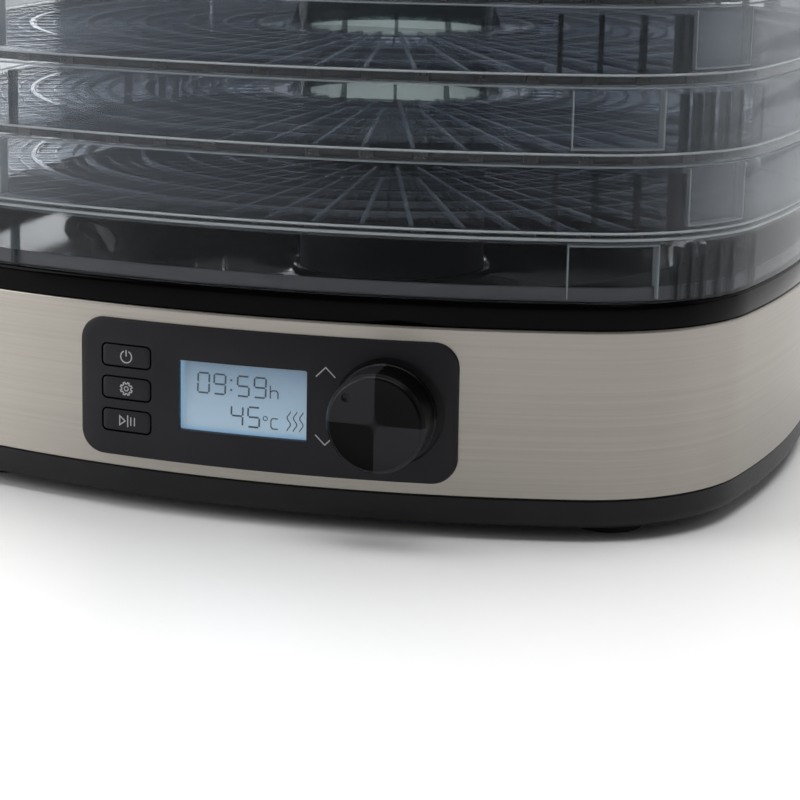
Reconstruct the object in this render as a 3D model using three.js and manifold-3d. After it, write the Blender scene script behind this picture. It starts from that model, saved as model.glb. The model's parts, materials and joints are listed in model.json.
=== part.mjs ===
// A food dehydrator: a square-round base with a fan and a heater in its middle, a control panel on its
// front, and a stack of clear trays under a lid. Millimetres, +Z up, front at -Y, table at z = 0.
import * as THREE from "three";
import { mergeVertices } from "three/addons/utils/BufferGeometryUtils.js";
import Module from "manifold-3d";

const wasm = await Module();
wasm.setup();

// Clearances.
const gap = 0.3;
const slip = 0.45;
const runningGap = 1.5;

// Plan outline: four shallow side arcs joined by four tight corner arcs.
const halfWidth = 170;
const sideRadius = 400;
const sideHalfAngle = THREE.MathUtils.degToRad(15.65);
const sideSteps = 6;
const cornerSteps = 4;

// Feet and bottom pan.
const footRadius = 13;
const footHeight = 4;
const footPegRadius = 3.5;
const footInset = 25.5;
const footBearing = THREE.MathUtils.degToRad(48.6);
const panFloor = 2.5;
const panWall = 2.5;
const panInset = 2;
const panLipHeight = 7;
const panChamfer = 3;
const inletInner = 22;
const inletOuter = 38;
const inletSlots = 8;
const screwPostRadius = 5;
const screwRadius = 1.8;
const screwHeadRadius = 3.4;
const screwHeadHeight = 1.8;
const screwBite = 12;
const basePostInset = 19.4;

// Steel band.
const bandLow = 15;
const bandHeight = 58.1;
const bandWall = 1;
const bandDraft = 1.66;

// Deck: a flat rim, a low upstand inside it and a round dish.
const rimHeight = 8.5;
const rimWidth = 9;
const rimInset = 0.4;
const upstandInset = 3.4;
const upstandWall = 1.8;
const upstandHeight = 5;
const deckWall = 2.5;
const dishMargin = 42;
const dishSlope = 12;
const dishDepth = 23.9;
const dishSteps = 36;
const dishRingWall = 1.8;
const dishRingHeight = 4;

// Outlet hub with the heater in it.
const hubRadius = 37;
const hubWall = 2;
const hubTopDrop = 3;
const hubRingGap = 1.5;
const grilleBar = 2;
const grilleRing = 21;
const outletLip = 2;
const heaterPlate = 1;
const heaterHeight = 28;
const coilRadius = 21;
const coilThickness = 2.2;
const cutOutRadius = 4;
const cutOutHeight = 3;
const sensorRadius = 1.6;
const sensorLength = 14;

// Fan, motor, shroud and bracket.
const shroudHeight = 20;
const shroudWall = 2;
const shroudFlange = 7;
const impellerTopGap = 2;
const impellerHeight = 16;
const impellerHub = 8;
const impellerDisc = 17;
const bladeCount = 7;
const bladeThickness = 1.6;
const bladeTurn = THREE.MathUtils.degToRad(35);
const bracketWall = 1.5;
const bracketScrewMargin = 3;
const bracketEnd = 5;
const bracketCentre = 15;
const bracketArm = 10;
const motorRadius = 19;
const motorFloorGap = 4.6;
const motorWall = 2;
const bushRadius = 5;
const bushHeight = 4;
const shaftRadius = 2.5;

// Control panel, centred on the front.
const panelHalfWidth = 67.15;
const panelTopMargin = 5.1;
const panelLowMargin = 4.5;
const panelCorner = 8.5;
const panelProud = 1.2;
const panelBossMargin = 3.5;
const panelDepth = 5;
const displayWidth = 46;
const displayHeight = 24.6;
const displayCentre = -6.5;
const displayFrame = 2;
const windowThickness = 1;
const moduleDepth = 4;
const buttonWidth = 18.2;
const buttonHeight = 7.4;
const buttonCorner = 1.6;
const buttonCentre = -49.3;
const buttonPitch = 11.5;
const buttonTravel = 0.8;
const buttonDepth = 6;
const knobCentre = 44.3;
const knobRadius = 17.4;
const knobFaceRadius = 16.3;
const knobReach = 17;
const knobWall = 2.5;
const knobLift = 0.8;
const encoderWidth = 12;
const encoderDepth = 6;
const encoderShaftRadius = 3;
const boardSetBack = 19;
const boardThickness = 1.6;
const switchWidth = 6;

// Collar and trays.
const clearWall = 2;
const trayProud = 1.15;
const collarInset = 0.5;
const collarHeight = 22.05;
const trayCount = 5;
const trayPitch = 25.8;
const trayFloor = 2;
const traySkirt = 1.8;
const ledgeWidth = 8;
const ledgeThickness = 0.9;
const lipHeight = 4;
const lipWall = 1.5;
const tabReach = 48;
const trayHoleRadius = 36.8;
const trayHoleSteps = 16;
const trayRingWall = 1.8;
const trayRingHeight = 12;
const meshRings = [44, 88, 96, 140];
const meshSpokes = 8;
const spokeHalfWidth = 2;

// Lid.
const lidRise = 11;
const lidRound = 14;
const lidVentInner = 26;
const lidVentOuter = 46;
const lidVents = 8;
const gripRadius = 17;
const gripHeight = 9;

// Electrics at the back.
const powerBoardWidth = 92;
const powerBoardDepth = 46;
const powerBoardLift = 9;
const powerBoardBack = 34;
const relaySize = [19, 15, 15];
const terminalSize = [22, 10, 11];
const wireRadius = 1.4;
const glandRadius = 7;
const glandReach = 8;
const glandFlange = 10;
const glandBore = 3.6;
const glandLift = 20;

// Levels worked out from the sizes above.
const panLow = footHeight + gap;
const panTop = panLow + panFloor;
const bandTop = bandLow + bandHeight;
const deckLow = bandTop + gap;
const deckTop = deckLow + rimHeight;
const dishTop = deckTop - dishDepth;
const dishUnder = dishTop - deckWall;
const collarLow = deckTop + gap;
const collarTop = collarLow + collarHeight;
const hubTop = collarTop - hubTopDrop;
const shroudTop = dishUnder - gap;
const shroudLow = shroudTop - shroudHeight;
const bracketTop = shroudLow - runningGap;
const bracketLow = bracketTop - bracketWall;
const panelLow = bandLow + panelLowMargin;
const panelTop = bandTop - panelTopMargin;
const panelMiddle = (panelLow + panelTop) / 2;
const arcCentreY = sideRadius - halfWidth;
const [sideSin, sideCos] = [Math.sin(sideHalfAngle), Math.cos(sideHalfAngle)];
const cornerRadius = (halfWidth - sideRadius * (1 + sideSin - sideCos)) / (sideCos - sideSin);
const cornerCentre = (sideRadius - cornerRadius) * sideSin;
const cornerReach = cornerCentre * Math.SQRT2 + cornerRadius;
const postReach = (cornerReach - basePostInset) * Math.SQRT1_2;
const footX = (cornerReach - footInset) * Math.cos(footBearing);
const footY = (cornerReach - footInset) * Math.sin(footBearing);
const boardFront = boardSetBack - halfWidth;
const dishRadius = halfWidth - dishMargin;
const dishFloorRadius = dishRadius - dishSlope;
const hubBore = hubRadius - hubWall;
const outletRadius = hubBore - outletLip;
const impellerRadius = outletRadius - runningGap;
const bracketScrewReach = hubBore + shroudFlange + bracketScrewMargin;
const bracketReach = bracketScrewReach + bracketEnd;
const frontReach = halfWidth + knobReach;
const rearReach = halfWidth + glandReach;
const powerBoardY = halfWidth - powerBoardBack - powerBoardDepth / 2;
const glandHeight = bandLow + glandLift;
const buttonHeights = [-1, 0, 1].map((i) => panelMiddle + i * buttonPitch);

// Materials.
const paint = (color, roughness, metalness = 0) =>
  new THREE.MeshStandardMaterial({ color, roughness, metalness });
const steel = () => paint(0xaaa69f, 0.35, 1);
const glossBlack = () => paint(0x101013, 0.12);
const satinBlack = () => paint(0x2b2a2e, 0.5);
const clearSmoke = () => {
  const material = paint(0x8d9693, 0.06);
  material.transparent = true;
  material.opacity = 0.45;
  return material;
};
const greyRubber = () => paint(0x1c1c1e, 0.9);
const zincSteel = () => paint(0xb4b4b2, 0.4, 1);
const brass = () => paint(0xb59a52, 0.35, 1);
const whitePlastic = () => paint(0xe4e2dc, 0.5);
const greenBoard = () => paint(0x1f5c3a, 0.5);
const wireRed = () => paint(0x9c2a22, 0.5);
const wireBlue = () => paint(0x2b4f8c, 0.5);

const base = new THREE.Group();
const stack = new THREE.Group();

function add(parent, name, shape, material) {
  const mesh = new THREE.Mesh(shape.isBufferGeometry ? shape : toGeometry(shape), material);
  mesh.name = name;
  parent.add(mesh);
}

// A closed geometry as a solid for joining and cutting.
function solid(geometry) {
  const bare = new THREE.BufferGeometry();
  bare.setAttribute("position", geometry.getAttribute("position"));
  bare.setIndex(geometry.index);
  const merged = mergeVertices(bare, 1e-4);
  const index = merged.index.array;
  const kept = [];
  for (let i = 0; i < index.length; i += 3) {
    const [a, b, c] = [index[i], index[i + 1], index[i + 2]];
    if (a !== b && b !== c && c !== a) kept.push(a, b, c);
  }
  return new wasm.Manifold(
    new wasm.Mesh({
      numProp: 3,
      vertProperties: new Float32Array(merged.attributes.position.array),
      triVerts: new Uint32Array(kept),
    }),
  );
}

function toGeometry(made) {
  const mesh = made.getMesh();
  const geometry = new THREE.BufferGeometry();
  geometry.setAttribute("position", new THREE.BufferAttribute(new Float32Array(mesh.vertProperties), 3));
  geometry.setIndex(new THREE.BufferAttribute(new Uint32Array(mesh.triVerts), 1));
  geometry.computeVertexNormals();
  return geometry;
}

const joined = (pieces) => pieces.reduce((whole, piece) => whole.add(piece));
const cut = (whole, pieces) => pieces.reduce((left, piece) => left.subtract(piece), whole);

function arcPoints(centreX, centreY, radius, from, to, steps) {
  const points = [];
  for (let i = 0; i < steps; i++) {
    const angle = from + ((to - from) * i) / steps;
    points.push(new THREE.Vector2(centreX + radius * Math.cos(angle), centreY + radius * Math.sin(angle)));
  }
  return points;
}

// The plan outline moved inwards by inset.
function outline(inset) {
  const points = [];
  for (let quarter = 0; quarter < 4; quarter++) {
    const turn = (quarter * Math.PI) / 2;
    const pivot = new THREE.Vector2();
    const side = arcPoints(
      0, arcCentreY, sideRadius - inset,
      -Math.PI / 2 - sideHalfAngle, -Math.PI / 2 + sideHalfAngle, sideSteps,
    );
    const corner = arcPoints(
      cornerCentre, -cornerCentre, cornerRadius - inset,
      -Math.PI / 2 + sideHalfAngle, -sideHalfAngle, cornerSteps,
    );
    points.push(...side.concat(corner).map((p) => p.rotateAround(pivot, turn)));
  }
  return points;
}

function circle(radius, steps) {
  return arcPoints(0, 0, radius, 0, 2 * Math.PI, steps);
}

function prism(points, low, high, holes = []) {
  const shape = new THREE.Shape(points);
  for (const hole of holes) shape.holes.push(new THREE.Path(hole));
  const geometry = new THREE.ExtrudeGeometry(shape, { depth: high - low, bevelEnabled: false });
  return solid(geometry.translate(0, 0, low));
}

const slab = (inset, low, high) => prism(outline(inset), low, high);
const wall = (inset, thickness, low, high) =>
  prism(outline(inset), low, high, [outline(inset + thickness)]);

// A piece after its geometry has been turned or shifted.
function moved(piece, change) {
  const geometry = toGeometry(piece);
  change(geometry);
  return solid(geometry);
}

const spun = (piece, angle) => moved(piece, (geometry) => geometry.rotateZ(angle));

// Narrows a piece towards its lower end, by inset at the side walls.
function drafted(piece, low, high, inset) {
  return moved(piece, (geometry) => {
    const place = geometry.getAttribute("position");
    for (let i = 0; i < place.count; i++) {
      const scale = 1 - ((inset / halfWidth) * (high - place.getZ(i))) / (high - low);
      place.setXY(i, place.getX(i) * scale, place.getY(i) * scale);
    }
  });
}

function cylinder(radius, low, high, x = 0, y = 0, steps = 16) {
  const geometry = new THREE.CylinderGeometry(radius, radius, high - low, steps);
  geometry.rotateX(Math.PI / 2).translate(x, y, (low + high) / 2);
  return solid(geometry);
}

const tube = (outer, inner, low, high, steps = 24) =>
  prism(circle(outer, steps), low, high, [circle(inner, steps)]);

// A profile of [radius, height] pairs turned about the Z axis.
function turned(profile, steps = 24) {
  const points = profile.map(([r, z]) => new THREE.Vector2(r, z));
  return solid(new THREE.LatheGeometry(points, steps).rotateX(Math.PI / 2));
}

function box(width, depth, height, x, y, low) {
  const geometry = new THREE.BoxGeometry(width, depth, height);
  return solid(geometry.translate(x, y, low + height / 2));
}

function roundedRectangle(centreX, centreY, width, height, radius, steps = 3) {
  const points = [];
  for (let quarter = 0; quarter < 4; quarter++) {
    const start = (quarter * Math.PI) / 2;
    const x = (quarter === 0 || quarter === 3 ? 1 : -1) * (width / 2 - radius);
    const y = (quarter < 2 ? 1 : -1) * (height / 2 - radius);
    points.push(...arcPoints(centreX + x, centreY + y, radius, start, start + Math.PI / 2, steps));
    const end = start + Math.PI / 2;
    points.push(new THREE.Vector2(
      centreX + x + radius * Math.cos(end), centreY + y + radius * Math.sin(end)));
  }
  return points;
}

// An outline in X and Z pushed along Y, from the front at near to the back at far.
function facing(points, near, far) {
  const shape = new THREE.Shape(points);
  const geometry = new THREE.ExtrudeGeometry(shape, { depth: far - near, bevelEnabled: false });
  return solid(geometry.rotateX(Math.PI / 2).translate(0, far, 0));
}

// A layer that follows the curved front, from `inner` to `outer` millimetres proud of the steel.
function frontLayer(inner, outer, low, high) {
  const reach = Math.asin((panelHalfWidth + 10) / sideRadius);
  const steps = 8;
  const middle = -Math.PI / 2;
  const out = arcPoints(0, arcCentreY, sideRadius + outer, middle - reach, middle + reach, steps);
  const back = arcPoints(0, arcCentreY, sideRadius + inner, middle + reach, middle - reach, steps);
  return prism(out.concat(back), low, high);
}

const frontAt = (x, proud) => arcCentreY - Math.sqrt((sideRadius + proud) ** 2 - x ** 2);

// A round bar whose axis runs along Y.
function frontBar(radius, near, far, x, z, steps = 24) {
  const geometry = new THREE.CylinderGeometry(radius, radius, far - near, steps);
  return solid(geometry.translate(x, (near + far) / 2, z));
}

// Ring sectors between two radii, with a rib of the given half width between them.
function sectors(inner, outer, count, ribHalf, low, high) {
  const made = [];
  for (let i = 0; i < count; i++) {
    const middle = (2 * Math.PI * (i + 0.5)) / count;
    const half = Math.PI / count;
    const innerHalf = half - Math.asin(ribHalf / inner);
    const outerHalf = half - Math.asin(ribHalf / outer);
    const points = [];
    for (const t of [-1, 0, 1]) points.push(new THREE.Vector2(outer, 0).rotateAround(
      new THREE.Vector2(), middle + t * outerHalf));
    for (const t of [1, -1]) points.push(new THREE.Vector2(inner, 0).rotateAround(
      new THREE.Vector2(), middle + t * innerHalf));
    made.push(prism(points, low, high));
  }
  return made;
}

const corners = (x, y) => [[-x, -y], [x, -y], [x, y], [-x, y]];
const postPlaces = corners(postReach, postReach);
const bracketPlaces = [0, 1, 2].map((i) => {
  const angle = Math.PI / 6 + (i * 2 * Math.PI) / 3;
  return [bracketScrewReach * Math.cos(angle), bracketScrewReach * Math.sin(angle), angle];
});

// A screw driven upwards or downwards, with its head at `head` and its tip at `tip`.
function screw(x, y, head, tip) {
  const way = Math.sign(tip - head);
  const shoulder = head + way * screwHeadHeight;
  const headPart = cylinder(screwHeadRadius, Math.min(head, shoulder), Math.max(head, shoulder), x, y, 8);
  const shank = cylinder(screwRadius, Math.min(head, tip), Math.max(head, tip), x, y, 6);
  return headPart.add(shank);
}

function feet() {
  const names = ["foot_front_left", "foot_front_right", "foot_rear_right", "foot_rear_left"];
  corners(footX, footY).forEach(([x, y], i) => {
    const pad = cylinder(footRadius, 0, footHeight, x, y);
    const peg = cylinder(footPegRadius, 0, panTop + footHeight, x, y, 12);
    add(base, names[i], pad.add(peg), greyRubber());
  });
}

function bottomPan() {
  const lipInset = bandDraft + bandWall + slip;
  const lipTop = bandLow + panLipHeight;
  const shell = slab(panInset, panLow + panChamfer, bandLow - gap);
  const keel = drafted(slab(panInset, panLow, panLow + panChamfer), panLow, panLow + panChamfer, panChamfer);
  const lip = slab(Math.max(lipInset, panInset), panLow + panChamfer, lipTop);
  const hollow = slab(lipInset + panWall, panTop, lipTop + 1);
  const whole = joined([shell, keel, lip]).subtract(hollow);
  const posts = postPlaces.map(([x, y]) => cylinder(screwPostRadius, panLow, lipTop, x, y, 12));
  const bracketPosts = bracketPlaces.map(([x, y]) =>
    cylinder(screwPostRadius, panLow, bracketLow - gap, x, y, 12));
  const boardPosts = corners(powerBoardWidth / 2 - 5, powerBoardDepth / 2 - 5).map(([x, y]) =>
    cylinder(3, panLow, panTop + powerBoardLift - gap, x, y + powerBoardY, 8));
  const holes = postPlaces.map(([x, y]) => cylinder(screwRadius + gap, 0, lipTop + 1, x, y, 8));
  const sinks = postPlaces.map(([x, y]) =>
    cylinder(screwHeadRadius + gap, 0, panTop + screwHeadHeight, x, y, 12));
  const bracketHoles = bracketPlaces.map(([x, y]) =>
    cylinder(screwRadius + gap, panTop + 2, bracketTop, x, y, 8));
  const footHoles = corners(footX, footY).map(([x, y]) =>
    cylinder(footPegRadius + gap, 0, panTop + 1, x, y, 12));
  const slots = sectors(inletInner, inletOuter, inletSlots, 5, 0, panTop + 1);
  const pan = cut(joined([whole, ...posts, ...bracketPosts, ...boardPosts]), [
    ...holes, ...sinks, ...bracketHoles, ...footHoles, ...slots,
    frontBar(glandRadius + gap, halfWidth - 14, halfWidth + 2, 0, glandHeight),
  ]);
  add(base, "bottom_pan", pan, satinBlack());
}

function steelBand() {
  const band = drafted(wall(0, bandWall, bandLow, bandTop), bandLow, bandTop, bandDraft);
  const opening = facing(
    roundedRectangle(0, panelMiddle, 2 * (panelHalfWidth - panelBossMargin) + 2 * gap,
      panelTop - panelLow - 2 * panelBossMargin + 2 * gap, panelCorner - 2),
    -halfWidth - 5, -halfWidth + 30,
  );
  const outlet = frontBar(glandRadius + gap, halfWidth - 14, halfWidth + 5, 0, glandHeight);
  add(base, "steel_band", band.subtract(opening).subtract(outlet), steel());
}

function topDeck() {
  const rim = wall(rimInset, rimWidth, deckLow, deckTop);
  const upstand = wall(upstandInset, upstandWall, deckTop - 1, deckTop + upstandHeight);
  const plateTop = deckLow + deckWall;
  const plate = prism(outline(rimInset + rimWidth - 1), deckLow, plateTop, [circle(dishRadius, dishSteps)]);
  const ringOuter = hubRadius + hubRingGap + dishRingWall;
  const dish = turned([
    [outletRadius, dishUnder], [dishFloorRadius, dishUnder], [dishRadius + 1, deckLow],
    [dishRadius + 1, plateTop], [dishRadius, plateTop], [dishFloorRadius, dishTop], [ringOuter, dishTop],
    [ringOuter, dishTop + dishRingHeight], [ringOuter - dishRingWall, dishTop + dishRingHeight],
    [ringOuter - dishRingWall, dishTop], [outletRadius, dishTop], [outletRadius, dishUnder],
  ], dishSteps);
  const posts = postPlaces.map(([x, y]) =>
    cylinder(screwPostRadius, bandLow + panLipHeight + gap, plateTop, x, y, 12));
  const holes = postPlaces.map(([x, y]) =>
    cylinder(screwRadius + gap, bandLow, bandLow + panLipHeight + screwBite + 2, x, y, 8));
  add(base, "top_deck", cut(joined([rim, upstand, plate, dish, ...posts]), holes), glossBlack());
}

function outletHub() {
  const low = dishTop + gap;
  const shell = tube(hubRadius, hubBore, low, hubTop);
  const bars = [0, 1, 2].map((i) =>
    spun(box(2 * hubRadius - 1, grilleBar, grilleBar, 0, 0, hubTop - grilleBar), (i * Math.PI) / 3));
  const ring = tube(grilleRing, grilleRing - grilleBar, hubTop - grilleBar, hubTop, 12);
  add(base, "outlet_hub", joined([shell, ...bars, ring]), satinBlack());
}

function heater() {
  const low = dishTop + gap;
  const plate = box(2 * hubBore - 2 * gap, heaterPlate, heaterHeight, 0, 0, low);
  const frame = plate.add(spun(plate, Math.PI / 2));
  const coilZ = low + heaterHeight / 2;
  const ring = (thickness, steps) => {
    const section = [];
    for (let i = 0; i <= steps; i++) {
      const angle = (2 * Math.PI * i) / steps;
      section.push([coilRadius + thickness * Math.cos(angle), coilZ + thickness * Math.sin(angle)]);
    }
    return turned(section, 24);
  };
  add(base, "heater_frame", frame.subtract(ring(coilThickness + 2 * gap, 6)), whitePlastic());
  add(base, "heater_coil", ring(coilThickness, 6), zincSteel());
  const cutOutFace = heaterPlate / 2 + gap;
  const cutOut = frontBar(cutOutRadius, cutOutFace, cutOutFace + cutOutHeight, 10, coilZ, 12);
  add(base, "thermal_cutout", cutOut, zincSteel());
  const sensorPlace = (hubBore - sensorRadius - gap) * Math.SQRT1_2;
  const sensor = cylinder(sensorRadius, hubTop - 3 - sensorLength, hubTop - 3, sensorPlace, -sensorPlace, 10);
  add(base, "temperature_sensor", sensor, zincSteel());
}

function fanShroud() {
  const shell = tube(hubBore + shroudWall, hubBore, shroudLow, shroudTop);
  const flange = tube(hubBore + shroudFlange, hubBore, shroudTop - shroudWall, shroudTop);
  add(base, "fan_shroud", shell.add(flange), satinBlack());
}

function motorBracket() {
  const centre = cylinder(bracketCentre, bracketLow, bracketTop);
  const arms = bracketPlaces.map(([, , angle]) =>
    spun(box(bracketReach, bracketArm, bracketWall, bracketReach / 2, 0, bracketLow), angle));
  const holes = bracketPlaces.map(([x, y]) =>
    cylinder(screwRadius + gap, bracketLow - 1, bracketTop + 1, x, y, 8));
  const bore = cylinder(bushRadius + gap, bracketLow - 1, bracketTop + 1, 0, 0, 16);
  add(base, "motor_bracket", cut(joined([centre, ...arms]), [...holes, bore]), zincSteel());
  bracketPlaces.forEach(([x, y], i) => {
    const place = screw(x, y, bracketTop + gap + screwHeadHeight, bracketLow - 9);
    add(base, `bracket_screw_${i + 1}`, place, zincSteel());
  });
}

function motor() {
  const low = panTop + motorFloorGap;
  const high = bracketLow - gap;
  const can = turned([
    [bushRadius + gap, low], [motorRadius, low], [motorRadius, high], [bushRadius + gap, high],
    [bushRadius + gap, high - motorWall], [motorRadius - motorWall, high - motorWall],
    [motorRadius - motorWall, low + motorWall], [bushRadius + gap, low + motorWall], [bushRadius + gap, low],
  ], 20);
  add(base, "motor_housing", can, zincSteel());
  const bush = (from, to) => tube(bushRadius, shaftRadius + gap, from, to, 12);
  add(base, "motor_bush_upper", bush(high - bushHeight, high), brass());
  add(base, "motor_bush_lower", bush(low, low + bushHeight), brass());
  const rotor = cylinder(motorRadius - motorWall - 3, low + bushHeight + 1, high - bushHeight - 1, 0, 0, 20);
  const shaft = cylinder(shaftRadius, low + 0.5, shroudTop - impellerTopGap - 2, 0, 0, 12);
  add(base, "motor_rotor", rotor.add(shaft), zincSteel());
}

function impeller() {
  const high = shroudTop - impellerTopGap;
  const low = high - impellerHeight;
  const hub = cylinder(impellerHub, low, high, 0, 0, 12);
  const disc = cylinder(impellerDisc, low, low + bladeThickness, 0, 0, 20);
  const blades = [];
  for (let i = 0; i < bladeCount; i++) {
    const span = impellerRadius - impellerHub + 1;
    const blade = new THREE.BoxGeometry(span, bladeThickness, impellerHeight - bladeThickness);
    blade.rotateX(bladeTurn).translate(impellerHub - 1 + span / 2, 0, (low + high) / 2);
    blades.push(solid(blade.rotateZ((2 * Math.PI * i) / bladeCount)));
  }
  const bore = cylinder(shaftRadius + gap, low - 1, high - 2 + gap, 0, 0, 12);
  add(base, "fan_impeller", joined([hub, disc, ...blades]).subtract(bore), satinBlack());
}

const openingOf = (x, z, width, height, corner) =>
  facing(roundedRectangle(x, z, width, height, corner), -halfWidth - 10, boardFront);

function controlPanel() {
  const height = panelTop - panelLow;
  const face = facing(
    roundedRectangle(0, panelMiddle, 2 * panelHalfWidth, height, panelCorner),
    -halfWidth - 10, boardFront,
  ).intersect(frontLayer(gap, panelProud, panelLow - 1, panelTop + 1));
  const boss = facing(
    roundedRectangle(0, panelMiddle, 2 * (panelHalfWidth - panelBossMargin),
      height - 2 * panelBossMargin, panelCorner - 2),
    -halfWidth - 10, boardFront,
  ).intersect(frontLayer(-panelDepth, panelProud / 2 + gap, panelLow, panelTop));
  const openings = [
    openingOf(displayCentre, panelMiddle, displayWidth + 2 * gap, displayHeight + 2 * gap, 1),
    ...buttonHeights.map((z) =>
      openingOf(buttonCentre, z, buttonWidth + 3 * gap, buttonHeight + 3 * gap, buttonCorner + gap)),
    frontBar(encoderShaftRadius + 1, -halfWidth - 10, boardFront, knobCentre, panelMiddle, 16),
  ];
  add(base, "control_panel", cut(face.add(boss), openings), satinBlack());
}

function display() {
  const window = facing(
    roundedRectangle(displayCentre, panelMiddle, displayWidth, displayHeight, 1, 2),
    -halfWidth - 10, boardFront,
  ).intersect(frontLayer(panelProud - windowThickness, panelProud - 0.1, panelLow, panelTop));
  add(base, "display_window", window, clearSmoke());
  const near = frontAt(displayCentre - displayWidth / 2 - displayFrame, -panelDepth) + gap;
  const unit = box(displayWidth + 2 * displayFrame, moduleDepth, displayHeight + 2 * displayFrame,
    displayCentre, near + moduleDepth / 2, panelMiddle - displayHeight / 2 - displayFrame);
  add(base, "display_module", unit, paint(0xb9c8d2, 0.3));
}

function buttons() {
  const names = ["start_button", "settings_button", "power_button"];
  buttonHeights.forEach((z, i) => {
    const cap = facing(
      roundedRectangle(buttonCentre, z, buttonWidth, buttonHeight, buttonCorner, 3),
      -halfWidth - 10, boardFront,
    ).intersect(frontLayer(panelProud - buttonDepth, panelProud - 0.1, panelLow, panelTop));
    const stem = frontBar(1.8, frontAt(buttonCentre, -2), boardFront - switchWidth / 2 - buttonTravel - gap,
      buttonCentre, z, 10);
    add(base, names[i], cap.add(stem), satinBlack());
    const body = box(switchWidth, switchWidth / 2 - gap, switchWidth, buttonCentre,
      boardFront - switchWidth / 4 - gap / 2, z - switchWidth / 2);
    add(base, `push_switch_${i + 1}`, body, paint(0x17171a, 0.5));
  });
}

function knob() {
  const back = frontAt(knobCentre - knobRadius, panelProud) - knobLift;
  const front = -frontReach;
  const length = back - front;
  const bore = encoderShaftRadius + gap;
  const boreEnd = length - knobWall - 1;
  const shape = turned([
    [bore, 0], [bore + knobWall, 0], [bore + knobWall, length - knobWall],
    [knobFaceRadius - knobWall, length - knobWall], [knobRadius - knobWall, 0], [knobRadius, 0],
    [knobRadius, 2], [knobFaceRadius, length - 1.2], [knobFaceRadius - 1.2, length], [0, length],
    [0, boreEnd], [bore, boreEnd], [bore, 0],
  ], 24);
  const placed = moved(shape, (geometry) =>
    geometry.rotateX(Math.PI / 2).translate(knobCentre, back, panelMiddle));
  add(base, "selector_knob", placed, satinBlack());
  const bodyFront = boardFront - gap - encoderDepth;
  const body = box(encoderWidth, encoderDepth, encoderWidth, knobCentre, bodyFront + encoderDepth / 2,
    panelMiddle - encoderWidth / 2);
  add(base, "encoder_body", body, zincSteel());
  const shaft = frontBar(
    encoderShaftRadius, back - boreEnd + gap, bodyFront - gap, knobCentre, panelMiddle, 16);
  add(base, "encoder_shaft", shaft, zincSteel());
}

function boards() {
  const height = panelTop - panelLow - 6;
  const control = box(2 * panelHalfWidth - 14, boardThickness, height, 0, boardFront + boardThickness / 2,
    panelMiddle - height / 2);
  add(base, "control_board", control, greenBoard());
  const low = panTop + powerBoardLift;
  const power = box(powerBoardWidth, powerBoardDepth, boardThickness, 0, powerBoardY, low);
  add(base, "power_board", power, greenBoard());
  const top = low + boardThickness + gap;
  add(base, "relay", box(...relaySize, -26, powerBoardY - 6, top), paint(0x2a5fa8, 0.4));
  add(base, "terminal_block", box(...terminalSize, 22, powerBoardY + 12, top), wireBlue());
  add(base, "fuse", frontBar(3, powerBoardY - 18, powerBoardY - 2, 8, top + 3, 12), whitePlastic());
}

// A lead of round section through the given points.
function lead(name, points, radius, material) {
  const path = new THREE.CatmullRomCurve3(points.map((p) => new THREE.Vector3(...p)));
  const section = new THREE.Shape(circle(radius, 5));
  const steps = 5 * (points.length - 1);
  const geometry = new THREE.ExtrudeGeometry(section, { steps, extrudePath: path, bevelEnabled: false });
  add(base, name, solid(geometry), material);
}

function wiring() {
  const boardTop = panTop + powerBoardLift + boardThickness;
  const frontEdge = powerBoardY - powerBoardDepth / 2;
  const clear = wireRadius + gap;
  lead("motor_lead", [
    [-14, frontEdge + 6, boardTop + clear], [-16, frontEdge - 8, boardTop + 2], [-10, motorRadius + 14, 24],
    [-6, motorRadius + clear, 22],
  ], wireRadius, wireRed());
  const left = -panelHalfWidth + 6;
  lead("ribbon_cable", [
    [left + 6, boardFront + boardThickness + clear, 30], [left - 6, boardFront + 30, 20],
    [left - 22, 0, 18], [left, frontEdge - 16, boardTop + 6],
    [-powerBoardWidth / 2 + 8, frontEdge + 3, boardTop + clear],
  ], wireRadius, paint(0x8c8c90, 0.5));
  lead("heater_lead", [
    [34, frontEdge + 6, boardTop + clear], [36, frontEdge - 6, boardTop + 12],
    [36, frontEdge - 30, dishUnder - 8], [36, frontEdge - 34, dishUnder - 2 * gap - 0.4],
  ], wireRadius, wireBlue());
}

function cableGland() {
  const shape = turned([
    [glandBore, 0], [glandRadius, 0], [glandRadius, 10], [glandFlange, 10], [glandFlange, 12],
    [glandRadius, 12], [glandRadius - 1, 10 + glandReach], [glandBore, 10 + glandReach], [glandBore, 0],
  ], 12);
  const placed = moved(shape, (geometry) =>
    geometry.rotateX(-Math.PI / 2).translate(0, halfWidth - 10, glandHeight));
  add(base, "cable_gland", placed, greyRubber());
}

function baseScrews() {
  postPlaces.forEach(([x, y], i) => {
    const place = screw(x, y, panLow + 1, bandLow + panLipHeight + screwBite);
    add(base, `base_screw_${i + 1}`, place, zincSteel());
  });
}

function collar() {
  const ring = wall(-trayProud, clearWall, collarLow, collarTop);
  add(stack, "collar", drafted(ring, collarLow, collarTop, trayProud + collarInset), clearSmoke());
}

// The corner tabs under a floor that drop inside the wall of the piece below.
function locatingTabs(under) {
  const inset = clearWall - trayProud + slip;
  const ring = wall(inset, lipWall, under - lipHeight, under + 0.5);
  const spans = [
    box(4 * halfWidth, 2 * (halfWidth - tabReach), 4 * lipHeight, 0, 0, under - 2 * lipHeight),
    box(2 * (halfWidth - tabReach), 4 * halfWidth, 4 * lipHeight, 0, 0, under - 2 * lipHeight),
  ];
  return cut(ring, spans);
}

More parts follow.
